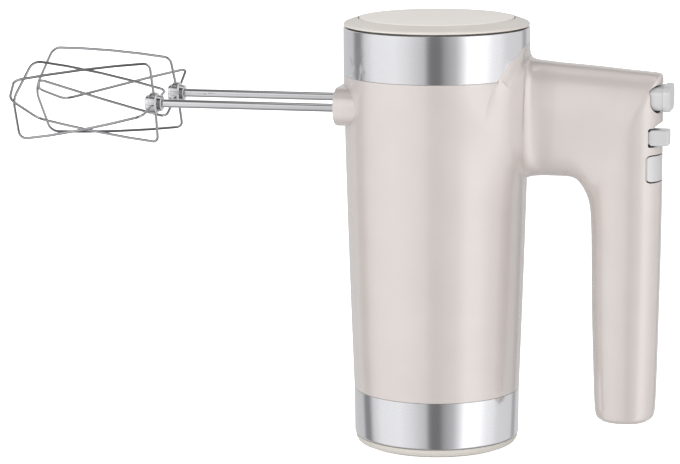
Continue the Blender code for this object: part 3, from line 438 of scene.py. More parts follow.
class Graph:
    """Short names for the steps of a node tree."""

    def __init__(self, tree):
        self.nodes = tree.nodes
        self.links = tree.links

    def feed(self, socket, value):
        """A constant goes on the socket itself, anything else is linked to it."""
        if isinstance(value, bpy.types.NodeSocket):
            self.links.new(value, socket)
        else:
            socket.default_value = value

    def ramp(self, source, stops):
        node = self.nodes.new("ShaderNodeValToRGB")
        self.links.new(source, node.inputs["Fac"])
        elements = node.color_ramp.elements
        while len(elements) < len(stops):
            elements.new(0.5)
        for element, (position, colour) in zip(elements, stops):
            element.position = position
            element.color = (*colour, 1.0)
        return node.outputs["Color"]

    def spread(self, source, low, high, start=0.0, end=1.0):
        """Map a source that runs from start to end onto low to high."""
        node = self.nodes.new("ShaderNodeMapRange")
        node.inputs["From Min"].default_value = start
        node.inputs["From Max"].default_value = end
        node.inputs["To Min"].default_value = low
        node.inputs["To Max"].default_value = high
        self.links.new(source, node.inputs["Value"])
        return node.outputs["Result"]

    def math(self, operation, first, second):
        node = self.nodes.new("ShaderNodeMath")
        node.operation = operation
        self.feed(node.inputs[0], first)
        self.feed(node.inputs[1], second)
        return node.outputs["Value"]

    def mix(self, factor, first, second, blend="MIX"):
        node = self.nodes.new("ShaderNodeMix")
        node.data_type = "RGBA"
        node.blend_type = blend
        self.feed(node.inputs["Factor"], factor)
        self.feed(node.inputs["A"], first)
        self.feed(node.inputs["B"], second)
        return node.outputs["Result"]


class Finish(Graph):
    """Builds one surface material on a Principled shader."""

    def __init__(self, name):
        self.material = bpy.data.materials.new(name)
        self.material.use_nodes = True
        super().__init__(self.material.node_tree)
        self.shader = self.nodes["Principled BSDF"]
        self.place = self.nodes.new("ShaderNodeTexCoord").outputs["Object"]

    def set(self, **values):
        for key, value in values.items():
            self.shader.inputs[key.replace("_", " ")].default_value = value
        return self

    def noise(self, scale, detail=3.0, roughness=0.5, stretch=(1.0, 1.0, 1.0)):
        mapping = self.nodes.new("ShaderNodeMapping")
        mapping.inputs["Scale"].default_value = stretch
        self.links.new(self.place, mapping.inputs["Vector"])
        texture = self.nodes.new("ShaderNodeTexNoise")
        texture.inputs["Scale"].default_value = scale
        texture.inputs["Detail"].default_value = detail
        texture.inputs["Roughness"].default_value = roughness
        self.links.new(mapping.outputs["Vector"], texture.inputs["Vector"])
        return texture.outputs["Fac"]

    def colour(self, source):
        self.links.new(source, self.shader.inputs["Base Color"])
        return self

    def roughness(self, source):
        self.links.new(source, self.shader.inputs["Roughness"])
        return self

    def bump(self, source, strength, distance):
        node = self.nodes.new("ShaderNodeBump")
        node.inputs["Strength"].default_value = strength
        node.inputs["Distance"].default_value = distance
        self.links.new(source, node.inputs["Height"])
        self.links.new(node.outputs["Normal"], self.shader.inputs["Normal"])
        return self


def shade(colour, factor):
    return tuple(channel * factor for channel in colour)


def pearl(name, colour, roughness, metallic, coat):
    """Pearl lacquer: a soft cloud of tone and slightly uneven gloss under a clear coat."""
    finish = Finish(name)
    finish.set(Metallic=metallic, Coat_Weight=coat, Coat_Roughness=COAT_ROUGHNESS, Coat_IOR=COAT_IOR)
    cloud = finish.noise(60.0, 2.0, 0.4)
    finish.colour(finish.ramp(cloud, [(0.3, shade(colour, 0.985)), (0.7, shade(colour, 1.015))]))
    drift = finish.noise(14.0, 2.0)
    finish.roughness(finish.spread(drift, roughness * 0.9, roughness * 1.1))
    finish.bump(finish.noise(300.0, 1.0), 0.02, 0.02 * MM)
    return finish.material


def metal(name, colour, roughness, stretch, scale=900.0, depth=0.1, varied=0.15):
    """Machined or drawn metal: fine lines along one direction and uneven roughness."""
    finish = Finish(name)
    finish.set(Metallic=1.0)
    lines = finish.noise(scale, 3.0, 0.6, stretch)
    finish.colour(finish.ramp(lines, [(0.3, shade(colour, 0.95)), (0.7, shade(colour, 1.03))]))
    finish.roughness(finish.spread(lines, roughness * (1.0 - varied), roughness * (1.0 + varied)))
    finish.bump(lines, depth, 0.01 * MM)
    return finish.material


def plastic(name, colour, roughness, grain_scale=900.0, grain=0.25):
    """Moulded plastic or rubber: spark-eroded grain and slight blotches."""
    finish = Finish(name)
    blotch = finish.noise(35.0, 3.0)
    finish.colour(finish.ramp(blotch, [(0.3, shade(colour, 0.92)), (0.7, shade(colour, 1.06))]))
    grains = finish.noise(grain_scale, 3.0, 0.6)
    finish.roughness(finish.spread(grains, roughness * 0.85, roughness * 1.15))
    finish.bump(grains, grain, 0.03 * MM)
    return finish.material


SHELL = pearl("pearl_greige_gloss", (0.45, 0.412, 0.394), 0.26, 0.32, 1.0)
CAP = pearl("pearl_greige_satin", (0.65, 0.61, 0.575), 0.42, 0.25, 0.1)
# The bezel has the cap's greige, painted about a quarter darker as shade against the front light that falls on its
# outer side.
BEZEL_SHADED_GREIGE = pearl("bezel_greige_painted_shade", (0.49, 0.46, 0.43), 0.40, 0.2, 0.2)
FOOT = pearl("foot_greige", (0.40, 0.38, 0.35), 0.45, 0.1, 0.1)
RING = metal("polished_aluminium", (0.93, 0.93, 0.96), 0.13, (1.0, 1.0, 14.0), 500.0, 0.04)
CHROME = metal("bright_chrome", (0.90, 0.90, 0.92), 0.07, (1.0, 1.0, 1.0), 60.0, 0.02, 0.05)
WIRE = metal("drawn_steel_wire", (0.50, 0.50, 0.52), 0.14, (1.0, 1.0, 1.0), 90.0, 0.02, 0.1)
STEEL = metal("machined_steel", (0.56, 0.56, 0.58), 0.32, (1.0, 1.0, 9.0), 700.0, 0.15)
BRACKET = metal("cast_aluminium", (0.60, 0.60, 0.62), 0.45, (1.0, 1.0, 1.0), 600.0, 0.4)
COPPER = metal("enamelled_copper", (0.72, 0.36, 0.18), 0.33, (1.0, 1.0, 12.0), 800.0, 0.5)
BRONZE = metal("sintered_bronze", (0.55, 0.40, 0.22), 0.5, (1.0, 1.0, 1.0), 1500.0, 0.4)
SILVER = pearl("silver_lacquer", (0.46, 0.455, 0.46), 0.30, 0.35, 0.5)
BLACK = plastic("black_plastic", (0.022, 0.022, 0.024), 0.48)
CARBON = plastic("pressed_carbon", (0.05, 0.05, 0.055), 0.72, 2200.0, 0.5)
NYLON = plastic("natural_nylon", (0.80, 0.77, 0.69), 0.45, 700.0, 0.15)
RUBBER = plastic("foot_rubber", (0.30, 0.28, 0.27), 0.78, 1200.0, 0.5)
BOARD = plastic("circuit_board", (0.02, 0.17, 0.07), 0.4, 400.0, 0.2)

SLOT_MATERIALS = {
    "shell": SHELL,
    "cap": CAP,
    "ring": RING,
    "pad": RUBBER,
    "steel": STEEL,
    "bracket": BRACKET,
    "copper": COPPER,
    "bronze": BRONZE,
    "black_plastic": BLACK,
    "carbon": CARBON,
    "nylon": NYLON,
    "silver": SILVER,
    "board": BOARD,
    "chrome": CHROME,
}


def paint_frame():
    """Every CAD node gets the finish of its slot."""
    for part in frame["record"]["subparts"]:
        node = frame["nodes"][part["node"]]
        node.data.materials.clear()
        node.data.materials.append(SLOT_MATERIALS[part["material_slot"]])


# ---------------------------------------------------------------- housing

def barrel_radius(z):
    t = (TOP_RING_Z - z) / (TOP_RING_Z - BOTTOM_RING_Z)
    t = min(max(t, 0.0), 1.0)
    return BARREL_R_TOP - (BARREL_R_TOP - BARREL_R_BOTTOM) * t ** BARREL_TAPER_POWER


def barrel_outer():
    top_neck = BARREL_R_TOP - RING_THICKNESS - GAP
    foot_neck = BARREL_R_BOTTOM - RING_THICKNESS + GAP
    levels = 40
    span = TOP_RING_Z - BOTTOM_RING_Z
    profile = [(0.0, CAP_Z - GAP), (top_neck, CAP_Z - GAP), (top_neck, TOP_RING_Z)]
    profile += [(BARREL_R_TOP - RIM, TOP_RING_Z), (BARREL_R_TOP, TOP_RING_Z - RIM)]
    for i in range(1, levels):
        z = TOP_RING_Z - span * i / levels
        profile.append((barrel_radius(z), z))
    profile += [(BARREL_R_BOTTOM, BOTTOM_RING_Z + RIM), (BARREL_R_BOTTOM - RIM, BOTTOM_RING_Z)]
    profile += [(foot_neck, BOTTOM_RING_Z), (foot_neck, FOOT_Z), (0.0, FOOT_Z)]
    return turned("barrel_outer", profile)


def barrel_inner():
    top_neck = BARREL_R_TOP - RING_THICKNESS - GAP - WALL
    foot_neck = BARREL_R_BOTTOM - RING_THICKNESS + GAP - WALL + 0.4 * MM
    beyond = 5.0 * MM
    profile = [(0.0, CAP_Z + beyond), (top_neck, CAP_Z + beyond), (top_neck, TOP_RING_Z - 2.0 * MM)]
    for z in (184.0 * MM, 150.0 * MM, 110.0 * MM, 70.0 * MM, 31.0 * MM):
        profile.append((barrel_radius(z) - WALL, z))
    profile += [(foot_neck, 29.5 * MM), (foot_neck, FOOT_Z - beyond), (0.0, FOOT_Z - beyond)]
    return turned("barrel_inner", profile, 64)


def handle_ring(section, inset, points):
    """A superellipse across the handle, in the plane of its inner and outer points."""
    px, pz, qx, qz, half_width = section
    inner = Vector((px, 0.0, pz))
    outer = Vector((qx, 0.0, qz))
    middle = (inner + outer) / 2.0
    half = (outer - inner).length / 2.0 - inset
    along = (outer - inner).normalized()
    side = half_width - inset
    ring = []
    for i in range(points):
        angle = 2.0 * math.pi * i / points
        c, s = math.cos(angle), math.sin(angle)
        u = math.copysign(abs(c) ** (2.0 / HANDLE_POWER), c)
        v = math.copysign(abs(s) ** (2.0 / HANDLE_POWER), s)
        ring.append(middle + along * half * u + Vector((0.0, side * v, 0.0)))
    return ring


def eased_sections(rows_between):
    """The handle's sections with smooth ones between, without overshoot."""
    rows = [[value * MM for value in row] for row in HANDLE_SECTIONS]
    steps = []
    for a, b in zip(rows, rows[1:]):
        steps.append(max(math.dist(a[0:2], b[0:2]), math.dist(a[2:4], b[2:4]), abs(a[4] - b[4])))
    slopes = []
    for i in range(len(rows)):
        if i in (0, len(rows) - 1):
            near = min(i, len(steps) - 1)
            slopes.append([(b - a) / steps[near] for a, b in zip(rows[near], rows[near + 1])])
            continue
        slope = []
        for a, b, c in zip(rows[i - 1], rows[i], rows[i + 1]):
            left, right = (b - a) / steps[i - 1], (c - b) / steps[i]
            if left * right <= 0.0:
                slope.append(0.0)
                continue
            weight = steps[i - 1] + steps[i]
            harmonic = (weight + steps[i]) / left + (weight + steps[i - 1]) / right
            slope.append(3.0 * weight / harmonic)
        slopes.append(slope)
    sections = []
    for i, step in enumerate(steps):
        for k in range(rows_between):
            t = k / rows_between
            h0, h1 = (1.0 + 2.0 * t) * (1.0 - t) ** 2, t * t * (3.0 - 2.0 * t)
            g0, g1 = t * (1.0 - t) ** 2 * step, t * t * (t - 1.0) * step
            sections.append([
                h0 * a + h1 * b + g0 * m + g1 * n
                for a, b, m, n in zip(rows[i], rows[i + 1], slopes[i], slopes[i + 1])
            ])
    sections.append(rows[-1])
    return sections


def flare_fillet():
    """What is cut off the flare so that it runs out evenly round the barrel."""
    profile = rounded(FLARE_FILLET, [0.0, 0.0, 2.0, 1.2, 0.3, 1.0, 1.5, 2.0, 0.0, 0.0], 4)
    crest = FLARE_EDGE[0][1]
    rings = []
    reach = int(FLARE_EDGE[-1][0])
    for degrees in range(-reach, reach + 1):
        angle = math.radians(degrees)
        drop = crest - edge_height(abs(degrees))
        rings.append([Vector((r * math.cos(angle), r * math.sin(angle), z - drop)) * MM for r, z in profile])
    return solid("flare_fillet", loft_mesh("flare_fillet", rings))


def edge_height(degrees):
    """The height of the flare's edge on the barrel, in mm."""
    for (a, high), (b, low) in zip(FLARE_EDGE, FLARE_EDGE[1:]):
        if degrees <= b:
            return high + (low - high) * (degrees - a) / (b - a)
    return FLARE_EDGE[-1][1]


def handle_outer():
    rings = [handle_ring(section, 0.0, HANDLE_POINTS) for section in eased_sections(HANDLE_ROWS_BETWEEN)]
    return solid("handle_outer", loft_mesh("handle_outer", rings))


def handle_inner():
    """The handle's hollow, which stays clear of the flare's edge."""
    rings = []
    for px, pz, qx, qz, half_width in HANDLE_SECTIONS[0:-2:2]:
        row = (px, pz, qx, min(qz, CAVITY_TOP), half_width)
        rings.append(handle_ring([value * MM for value in row], WALL, 24))
    return solid("handle_inner", loft_mesh("handle_inner", rings))


def stadium(x, radius, count=24):
    """Two half circles about the spindles, joined by straight lines, across X."""
    points = []
    for middle, start in ((SPINDLE_Y, -90.0), (-SPINDLE_Y, 90.0)):
        for k in range(count + 1):
            angle = math.radians(start + 180.0 * k / count)
            points.append(Vector((x, middle + radius * math.cos(angle), NOSE_Z + radius * math.sin(angle))))
    return points


def nose(name, inset, front, edge):
    """The boss in front of the spindles, its front rim rounded."""
    radius = NOSE_HALF_HEIGHT - inset
    steps = 5
    rings = [stadium(NOSE_BACK_X, radius)]
    for k in range(steps + 1 if edge > 0.0 else 1):
        angle = math.pi / 2.0 * k / steps
        x = front + edge * (1.0 - math.sin(angle))
        rings.append(stadium(x, radius - edge * (1.0 - math.cos(angle))))
    return solid(name, loft_mesh(name, rings))


def opening(name, node, radius, low_x, grow):
    """A slot through the handle's back, a little larger than the control in it."""
    low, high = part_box(node)
    half = ((high.y - low.y) / 2.0 + grow, (high.z - low.z) / 2.0 + grow)
    middle = (0.0, (low.y + high.y) / 2.0, (low.z + high.z) / 2.0)
    outline = rounded_rect(*half, radius)
    return prism(name, outline, low_x, OUTSIDE_X, Matrix.Translation(middle) @ OUTLINE_YZ)


def speed_opening():
    """The knob slides along +Y from one end of its slot to the other."""
    low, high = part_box("speed_knob")
    travel = joint_range("speed_select")
    ends = 1.2 * MM
    grow = 0.8 * MM
    near = low.y - ends
    far = high.y + travel + ends
    outline = rounded_rect((far - near) / 2.0, (high.z - low.z) / 2.0 + grow, grow)
    matrix = Matrix.Translation((0.0, (near + far) / 2.0, (low.z + high.z) / 2.0)) @ OUTLINE_YZ
    return prism("speed_opening", outline, SPEED_DEPTH_X, OUTSIDE_X, matrix)


def joint_range(name):
    joint = next(j for j in frame["joints"] if j["name"] == name)
    return joint["range_m"][1]


def scoop():
    """A cylinder along Y that hollows the handle's back above the speed knob."""
    radius = 6.3 * MM
    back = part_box("housing_left")[1].x
    matrix = Matrix.Translation((back + 2.0 * MM, 0.0, centre_of("speed_knob").z + 1.0 * MM)) @ AXIS_Y
    half = 20.0 * MM
    profile = [(0.0, half), (radius, half), (radius, -half), (0.0, -half)]
    return turned("scoop", profile, 96, matrix)


def openings():
    tools = [
        opening("eject_opening", "eject_button", 5.0 * MM, EJECT_DEPTH_X, 0.6 * MM),
        speed_opening(),
        opening("turbo_opening", "turbo_button", 2.0 * MM, TURBO_DEPTH_X, 0.7 * MM),
        scoop(),
    ]
    for side in (-1, 1):
        matrix = Matrix.Translation((0.0, side * SPINDLE_Y, SPINDLE_Z)) @ AXIS_X
        inside, outside = -44.0 * MM, -60.0 * MM
        outline = [(0.0, inside), (BEATER_HOLE_R, inside), (BEATER_HOLE_R, outside), (0.0, outside)]
        tools.append(turned("beater_hole", outline, 32, matrix))
    low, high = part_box("power_inlet")
    half = ((high.x - low.x) / 2.0 + GAP, (high.y - low.y) / 2.0 + GAP)
    middle = Matrix.Translation(((low.x + high.x) / 2.0, 0.0, 0.0))
    tools.append(prism("inlet_opening", rounded_rect(*half, 3.0 * MM), 4.0 * MM, 24.0 * MM, middle))
    for i in (1, 2, 3):
        head = centre_of("housing_screw_%d" % i)
        matrix = Matrix.Translation((head.x, 0.0, head.z)) @ AXIS_Y
        outside, floor_y = 20.0 * MM, 6.0 * MM
        profile = [(0.0, outside), (SCREW_POCKET_R, outside), (SCREW_POCKET_R, floor_y), (0.0, floor_y)]
        tools.append(turned("screw_pocket", profile, 32, matrix))
    return tools


def screw_posts():
    """Posts under the screw heads, so that no pocket opens into the handle."""
    posts = []
    for i in (1, 2, 3):
        head = centre_of("housing_screw_%d" % i)
        matrix = Matrix.Translation((head.x, 0.0, head.z)) @ AXIS_Y
        low, high = 5.0 * MM, 14.4 * MM
        outer, bore = 3.8 * MM, 1.8 * MM
        profile = [(outer, high), (outer, low), (bore, low), (bore, high)]
        posts.append(turned("screw_post", profile, 32, matrix))
    return posts


class Skin:
    """A smooth surface that lends its normals to faces cut from it."""

    def __init__(self, obj, with_caps):
        mesh = obj.data
        mesh.shade_smooth()
        mesh.set_sharp_from_angle(angle=math.radians(SKIN_SHARP_DEG))
        self.points = [vertex.co.copy() for vertex in mesh.vertices]
        kept = [face for face in mesh.polygons if with_caps or len(face.vertices) <= SKIN_CORNERS]
        self.flat = [face.normal.copy() for face in kept]
        self.faces = [tuple(face.vertices) for face in kept]
        self.loops = [face.loop_start for face in kept]
        self.normals = [Vector(corner.vector) for corner in mesh.corner_normals]
        self.tree = BVHTree.FromPolygons(self.points, self.faces)

    def distance(self, point):
        return self.tree.find_nearest(point)[3]

    def normal(self, point):
        """The smooth normal at the nearest point, from its face's corners."""
        place, _, index, _ = self.tree.find_nearest(point)
        face = self.faces[index]
        if len(face) > SKIN_CORNERS:
            return self.flat[index]
        weights = poly_3d_calc([self.points[i] for i in face], place)
        total = Vector()
        for k, weight in enumerate(weights):
            total += self.normals[self.loops[index] + k] * weight
        return total.normalized()


def mixed(first, second, weight):
    return (first * (1.0 - weight) + second * weight).normalized()


def lend_normals(obj, barrel, handle, uncut, others):
    """Give the shell its sources' normals, blended where the handle leaves the barrel and on its flare."""
    mesh = obj.data
    mesh.shade_smooth()
    mesh.set_sharp_from_angle(angle=math.radians(SHARP_DEG))
    normals = [Vector(corner.vector) for corner in mesh.corner_normals]
    for face in mesh.polygons:
        near = (skin for skin in (barrel, handle, *others) if skin.distance(face.center) < ON_SKIN)
        owner = next(near, None)
        if owner is None:
            continue
        other = {barrel: handle, handle: barrel}.get(owner)
        for k, index in enumerate(face.vertices):
            point = mesh.vertices[index].co
            inside = point.lerp(face.center, EDGE_PULL)
            normal = owner.normal(inside)
            if owner is handle and uncut.distance(face.center) > ON_SKIN:
                normal = mixed(normal, uncut.normal(inside), FLARE_SOFTNESS)
            if other is not None and point.z < TOP_RING_Z:
                away = other.distance(point) / BLEND
                weight = 0.5 * max(0.0, 1.0 - away) ** 2 * min(1.0, (TOP_RING_Z - point.z) / BLEND)
                normal = mixed(normal, other.normal(point), weight)
            normals[face.loop_start + k] = normal
    mesh.normals_split_custom_set(normals)


def housing():
    """Both half shells, cut from one hollow casting along the XZ plane."""
    whole = barrel_outer()
    barrel_skin = Skin(whole, True)
    handle = handle_outer()
    uncut_skin = Skin(handle, False)
    boolean(handle, [flare_fillet()], "DIFFERENCE")
    handle_skin = Skin(handle, False)
    nose_outer = nose("nose_outer", 0.0, NOSE_X, 0.9 * MM)
    nose_skin = Skin(nose_outer, True)
    boolean(whole, [handle], "UNION")
    boolean(whole, [nose_outer], "UNION")
    nose_inner = nose("nose_inner", WALL, NOSE_X + WALL, 0.0)
    boolean(whole, [barrel_inner(), handle_inner(), nose_inner], "DIFFERENCE")
    boolean(whole, screw_posts(), "UNION")
    boolean(whole, openings(), "DIFFERENCE")
    reach = 0.3
    for side, name in ((-1, "left"), (1, "right")):
        ends = sorted((side * SEAM, side * reach))
        half = bpy.data.objects.new("shell_" + name, whole.data.copy())
        bpy.context.scene.collection.objects.link(half)
        keep = rounded_box("keep", (-reach, ends[0], -reach), (reach, ends[1], reach), 0.001 * MM, 1)
        boolean(half, [keep], "INTERSECT")
        finished(half, "root", SHELL, ["housing_" + name])
        lend_normals(half, barrel_skin, handle_skin, uncut_skin, [nose_skin])
    bpy.data.objects.remove(whole, do_unlink=True)


# ---------------------------------------------------------------- bands, cap and foot

def top_band():
    inner = BARREL_R_TOP - RING_THICKNESS
    outer = RING_TOP_HIGH.x
    low, high = RING_TOP_LOW.z - 0.2 * MM, RING_TOP_HIGH.z
    corners = [(outer, high), (outer, low), (inner, low), (inner, high)]
    band = turned("band_top", rounded(corners, [0.4 * MM, RIM, 0.0, 0.0]))
    rings = []
    for section in eased_sections(HANDLE_ROWS_BETWEEN):
        if section[0] < 60.0 * MM:
            rings.append(handle_ring(section, -GAP * 0.6, HANDLE_POINTS))
    notch = solid("notch", loft_mesh("notch", rings))
    boolean(band, [notch], "DIFFERENCE")
    finished(band, "root", RING, ["top_ring"])


def bottom_band():
    inner = BARREL_R_BOTTOM - RING_THICKNESS + 2.0 * GAP
    top = RING_FOOT_HIGH.z + 0.2 * MM
    foot_r = 41.6 * MM
    corners = [(BARREL_R_BOTTOM, top), (foot_r, FOOT_Z), (inner, FOOT_Z), (inner, top)]
    band = turned("band_bottom", rounded(corners, [RIM, 1.2 * MM, 0.0, 0.0], 6))
    finished(band, "root", RING, ["bottom_ring"])


def cap():
    """The bezel, whose top falls outwards from the disc, and the domed disc."""
    skirt = BARREL_R_TOP - RING_THICKNESS - 2.0 * GAP - WALL
    top = CAD_HIGH.z - 0.2 * MM
    disc_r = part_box("cap_disc")[1].x
    groove_r = disc_r + 0.5 * MM
    bottom = CAP_Z + 0.55 * MM
    skirt_z = CAP_Z - 6.5 * MM
    skirt_inner = skirt - 1.8 * MM
    floor_z = top - 2.2 * MM
    under_z = floor_z - 1.4 * MM
    corners = [
        (groove_r, top - 0.55 * MM),
        (disc_r + 1.0 * MM, top - 0.5 * MM),
        (BARREL_R_TOP - 0.7 * MM, top - 2.65 * MM),
        (BARREL_R_TOP, top - 3.4 * MM),
        (BARREL_R_TOP - 0.1 * MM, bottom),
        (skirt, bottom),
        (skirt, skirt_z),
        (skirt_inner, skirt_z),
        (skirt_inner, under_z),
        (0.0, under_z),
        (0.0, floor_z),
        (groove_r, floor_z),
    ]
    edges = [RIM, 0.2 * MM, 0.35 * MM, 0.35 * MM, 0.3 * MM, 0.0, 0.3 * MM, 0.3 * MM]
    edges += [0.0] * (len(corners) - len(edges))
    # The bezel's colour carries painted shade: the cap's greige made darker where the front light falls.
    finished(turned("bezel", rounded(corners, edges)), "root", BEZEL_SHADED_GREIGE, ["top_bezel"])
    crown = [(0.0, top + 0.2 * MM)]
    steps = 12
    flat_r = disc_r - 0.5 * MM
    for i in range(1, steps + 1):
        r = flat_r * i / steps
        crown.append((r, top + 0.2 * MM - 0.35 * MM * (r / flat_r) ** 2))
    crown += [(disc_r - 0.15 * MM, top - 0.3 * MM), (disc_r, top - 0.6 * MM)]
    crown += [(disc_r, floor_z + GAP), (0.0, floor_z + GAP)]
    finished(turned("disc", crown), "root", CAP, ["cap_disc"])


def foot():
    """The base plate with its screw pockets, and the rubber pad with a tread groove."""
    spigot = BARREL_R_BOTTOM - RING_THICKNESS - WALL + 0.4 * MM
    top = FOOT_Z - 0.12 * MM
    pad_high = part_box("base_pad")[1]
    pad_r = pad_high.x
    roof = pad_high.z + GAP
    spigot_z, rim_z = 6.6 * MM, 1.1 * MM
    corners = [
        (0.0, spigot_z),
        (spigot, spigot_z),
        (spigot, top),
        (41.0 * MM, top),
        (41.1 * MM, 3.0 * MM),
        (39.9 * MM, rim_z),
        (pad_r + GAP, rim_z),
        (pad_r + GAP, roof),
        (0.0, roof),
    ]
    edges = [0.0, 0.3 * MM, 0.0, 0.2 * MM, 1.2 * MM, 0.8 * MM, 0.2 * MM, 0.0, 0.0]
    plate = turned("foot_plate", rounded(corners, edges))
    pockets = []
    bore_r, head_r = 1.8 * MM, 3.1 * MM
    above, head_z = 12.0 * MM, 4.9 * MM
    for i in (1, 2, 3):
        at = centre_of("base_screw_%d" % i)
        bore = [(0.0, above), (bore_r, above), (bore_r, head_z), (head_r, head_z), (head_r, 0.0), (0.0, 0.0)]
        pockets.append(turned("foot_pocket", bore, 32, Matrix.Translation((at.x, at.y, 0.0))))
    boolean(plate, pockets, "DIFFERENCE")
    finished(plate, "root", FOOT, ["base_plate"])
    groove = 0.5 * MM
    half = 0.8 * MM
    pad = [(0.0, pad_high.z), (pad_r, pad_high.z), (pad_r, 0.0)]
    pad_edges = [0.0, 0.2 * MM, 0.5 * MM]
    for r in (33.0 * MM, 28.0 * MM):
        pad += [(r + half, 0.0), (r + half, groove), (r - half, groove), (r - half, 0.0)]
        pad_edges += [0.2 * MM] * 4
    pad.append((0.0, 0.0))
    pad_edges.append(0.0)
    finished(turned("foot_pad", rounded(pad, pad_edges, 3)), "root", RUBBER, ["base_pad"])


# ---------------------------------------------------------------- controls

def eject_button():
    low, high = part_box("eject_button")
    z = (low.z + high.z) / 2.0
    half = (high.y, (high.z - low.z) / 2.0)
    matrix = Matrix.Translation((0.0, 0.0, z)) @ OUTLINE_YZ
    head = prism("eject_head", rounded_rect(*half, 4.6 * MM, 8), 114.2 * MM, high.x, matrix, 0.7 * MM, 4)
    stem_half = (half[0] - 0.6 * MM, half[1] - 0.6 * MM)
    stem = prism("eject_stem", rounded_rect(*stem_half, 4.0 * MM, 8), low.x, high.x - 1.0 * MM, matrix)
    boolean(head, [stem], "UNION")
    finished(head, "ejector", SILVER, ["eject_button"])


def speed_knob():
    """A sliding knob with grip ridges across its crown."""
    low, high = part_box("speed_knob")
    knob = rounded_box("speed_slider", low, high, 0.7 * MM, 4)
    grooves = []
    neck = low.x + 7.8 * MM
    depth, past = 0.9 * MM, 1.0 * MM
    for near, far in ((low.z - past, low.z + depth), (high.z - depth, high.z + past)):
        corner = (neck - depth, low.y - past, near)
        grooves.append(rounded_box("neck", corner, (neck + depth, high.y + past, far), 0.3 * MM, 2))
    count = 3
    for i in range(count):
        y = low.y + (high.y - low.y) * (i + 1) / (count + 1)
        matrix = Matrix.Translation((high.x + 0.35 * MM, y, 0.0))
        above, below = high.z + 2.0 * MM, low.z - 2.0 * MM
        ridge_r = 0.8 * MM
        profile = [(0.0, above), (ridge_r, above), (ridge_r, below), (0.0, below)]
        grooves.append(turned("ridge", profile, 24, matrix))
    boolean(knob, grooves, "DIFFERENCE")
    finished(knob, "speed_selector", SILVER, ["speed_knob"])


def turbo_button():
    """A pad whose face follows the handle's back, just below flush."""
    low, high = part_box("turbo_button")
    half = (high.y, (high.z - low.z) / 2.0)
    matrix = Matrix.Translation((0.0, 0.0, (low.z + high.z) / 2.0)) @ OUTLINE_YZ
    pad = prism("turbo_pad", rounded_rect(*half, 1.6 * MM, 8), low.x, 120.0 * MM, matrix)
    rings = [handle_ring(section, 0.05 * MM, HANDLE_POINTS) for section in eased_sections(4)]
    boolean(pad, [solid("skin", loft_mesh("skin", rings))], "INTERSECT")
    finished(pad, "turbo", SILVER, ["turbo_button"])


# ---------------------------------------------------------------- beaters

def filleted(points, radii, count):
    """Round the corners of a 3D polyline that have a radius."""
    path = [points[0]]
    for i in range(1, len(points) - 1):
        radius = radii[i - 1]
        if radius == 0.0:
            path.append(points[i])
            continue
        before = (points[i - 1] - points[i]).normalized()
        after = (points[i + 1] - points[i]).normalized()
        half = before.angle(after) / 2.0
        reach = radius / math.tan(half)
        centre = points[i] + (before + after).normalized() * (radius / math.sin(half))
        start = points[i] + before * reach - centre
        end = points[i] + after * reach - centre
        for k in range(count + 1):
            path.append(centre + start.slerp(end, k / count).normalized() * radius)
    path.append(points[-1])
    return path


def cage_point(x, radius, phase_deg, axis_y):
    a = math.radians(phase_deg)
    return Vector((x, axis_y + radius * math.sin(a), SPINDLE_Z + radius * math.cos(a)))


def cage_side(hub_phase, tip_phase, axis_y):
    pieces = 4
    side = []
    for i in range(pieces + 1):
        t = i / pieces
        x = CAGE_SHOULDER_X + (TIP_SHOULDER_X - CAGE_SHOULDER_X) * t
        side.append(cage_point(x, CAGE_R, hub_phase + (tip_phase - hub_phase) * t, axis_y))
    return side


def loop_path(hub_phase, tip_phase, tip_x, axis_y):
    """One wire: out of the hub, along the cage, round the tip and back."""
    start_r = HUB_R + GAP
    out = cage_side(hub_phase, tip_phase, axis_y)
    back = cage_side(hub_phase + 180.0, tip_phase + 180.0, axis_y)
    back.reverse()
    points = [cage_point(HUB_X, start_r, hub_phase, axis_y), *out, cage_point(tip_x, 0.0, 0.0, axis_y)]
    points += [*back, cage_point(HUB_X, start_r, hub_phase + 180.0, axis_y)]
    easy = [EASY_BEND] * (len(out) - 2)
    radii = [HUB_BEND, *easy, SIDE_BEND, TIP_BEND, SIDE_BEND, *easy, HUB_BEND]
    return filleted(points, radii, 10)


def beater(side, name, loops):
    body = name + "_beater"
    axis_y = side * SPINDLE_Y
    matrix = Matrix.Translation((0.0, axis_y, SPINDLE_Z)) @ AXIS_X
    prefix = "beater_%s_" % name
    low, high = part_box(prefix + "shaft")
    shaft = [(0.0, high.x), (SHAFT_R, high.x), (SHAFT_R, low.x), (0.0, low.x)]
    shaft_piece = turned("%s_shaft" % name, rounded(shaft, [0.0, 0.7 * MM, 0.4 * MM, 0.0]), 48, matrix)
    finished(shaft_piece, body, CHROME, [prefix + "shaft"])
    low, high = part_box(prefix + "hub")
    collar = [
        (HUB_R - 1.6 * MM, high.x),
        (HUB_R - 1.2 * MM, high.x - 2.4 * MM),
        (HUB_R, high.x - 2.8 * MM),
        (HUB_R, low.x + 2.4 * MM),
        (HUB_R - 1.0 * MM, low.x + 2.0 * MM),
        (HUB_R - 1.4 * MM, low.x),
        (SHAFT_R + GAP * 0.3, low.x),
        (SHAFT_R + GAP * 0.3, high.x),
    ]
    edges = [0.4 * MM, 0.3 * MM, 0.3 * MM, 0.3 * MM, 0.3 * MM, 0.5 * MM, 0.0, 0.0]
    hub = turned("%s_hub" % name, rounded(collar, edges), 64, matrix)
    finished(hub, body, CHROME, [prefix + "hub"])
    for i, (hub_phase, tip_phase) in enumerate(loops):
        path = loop_path(hub_phase, tip_phase, TIP_X + TIP_STEP * i, axis_y)
        loop = swept("%s_loop_%s" % (name, "ab"[i]), path, WIRE_R)
        finished(loop, body, WIRE, [prefix + "loop_" + "ab"[i]], 60.0)


# ---------------------------------------------------------------- studio

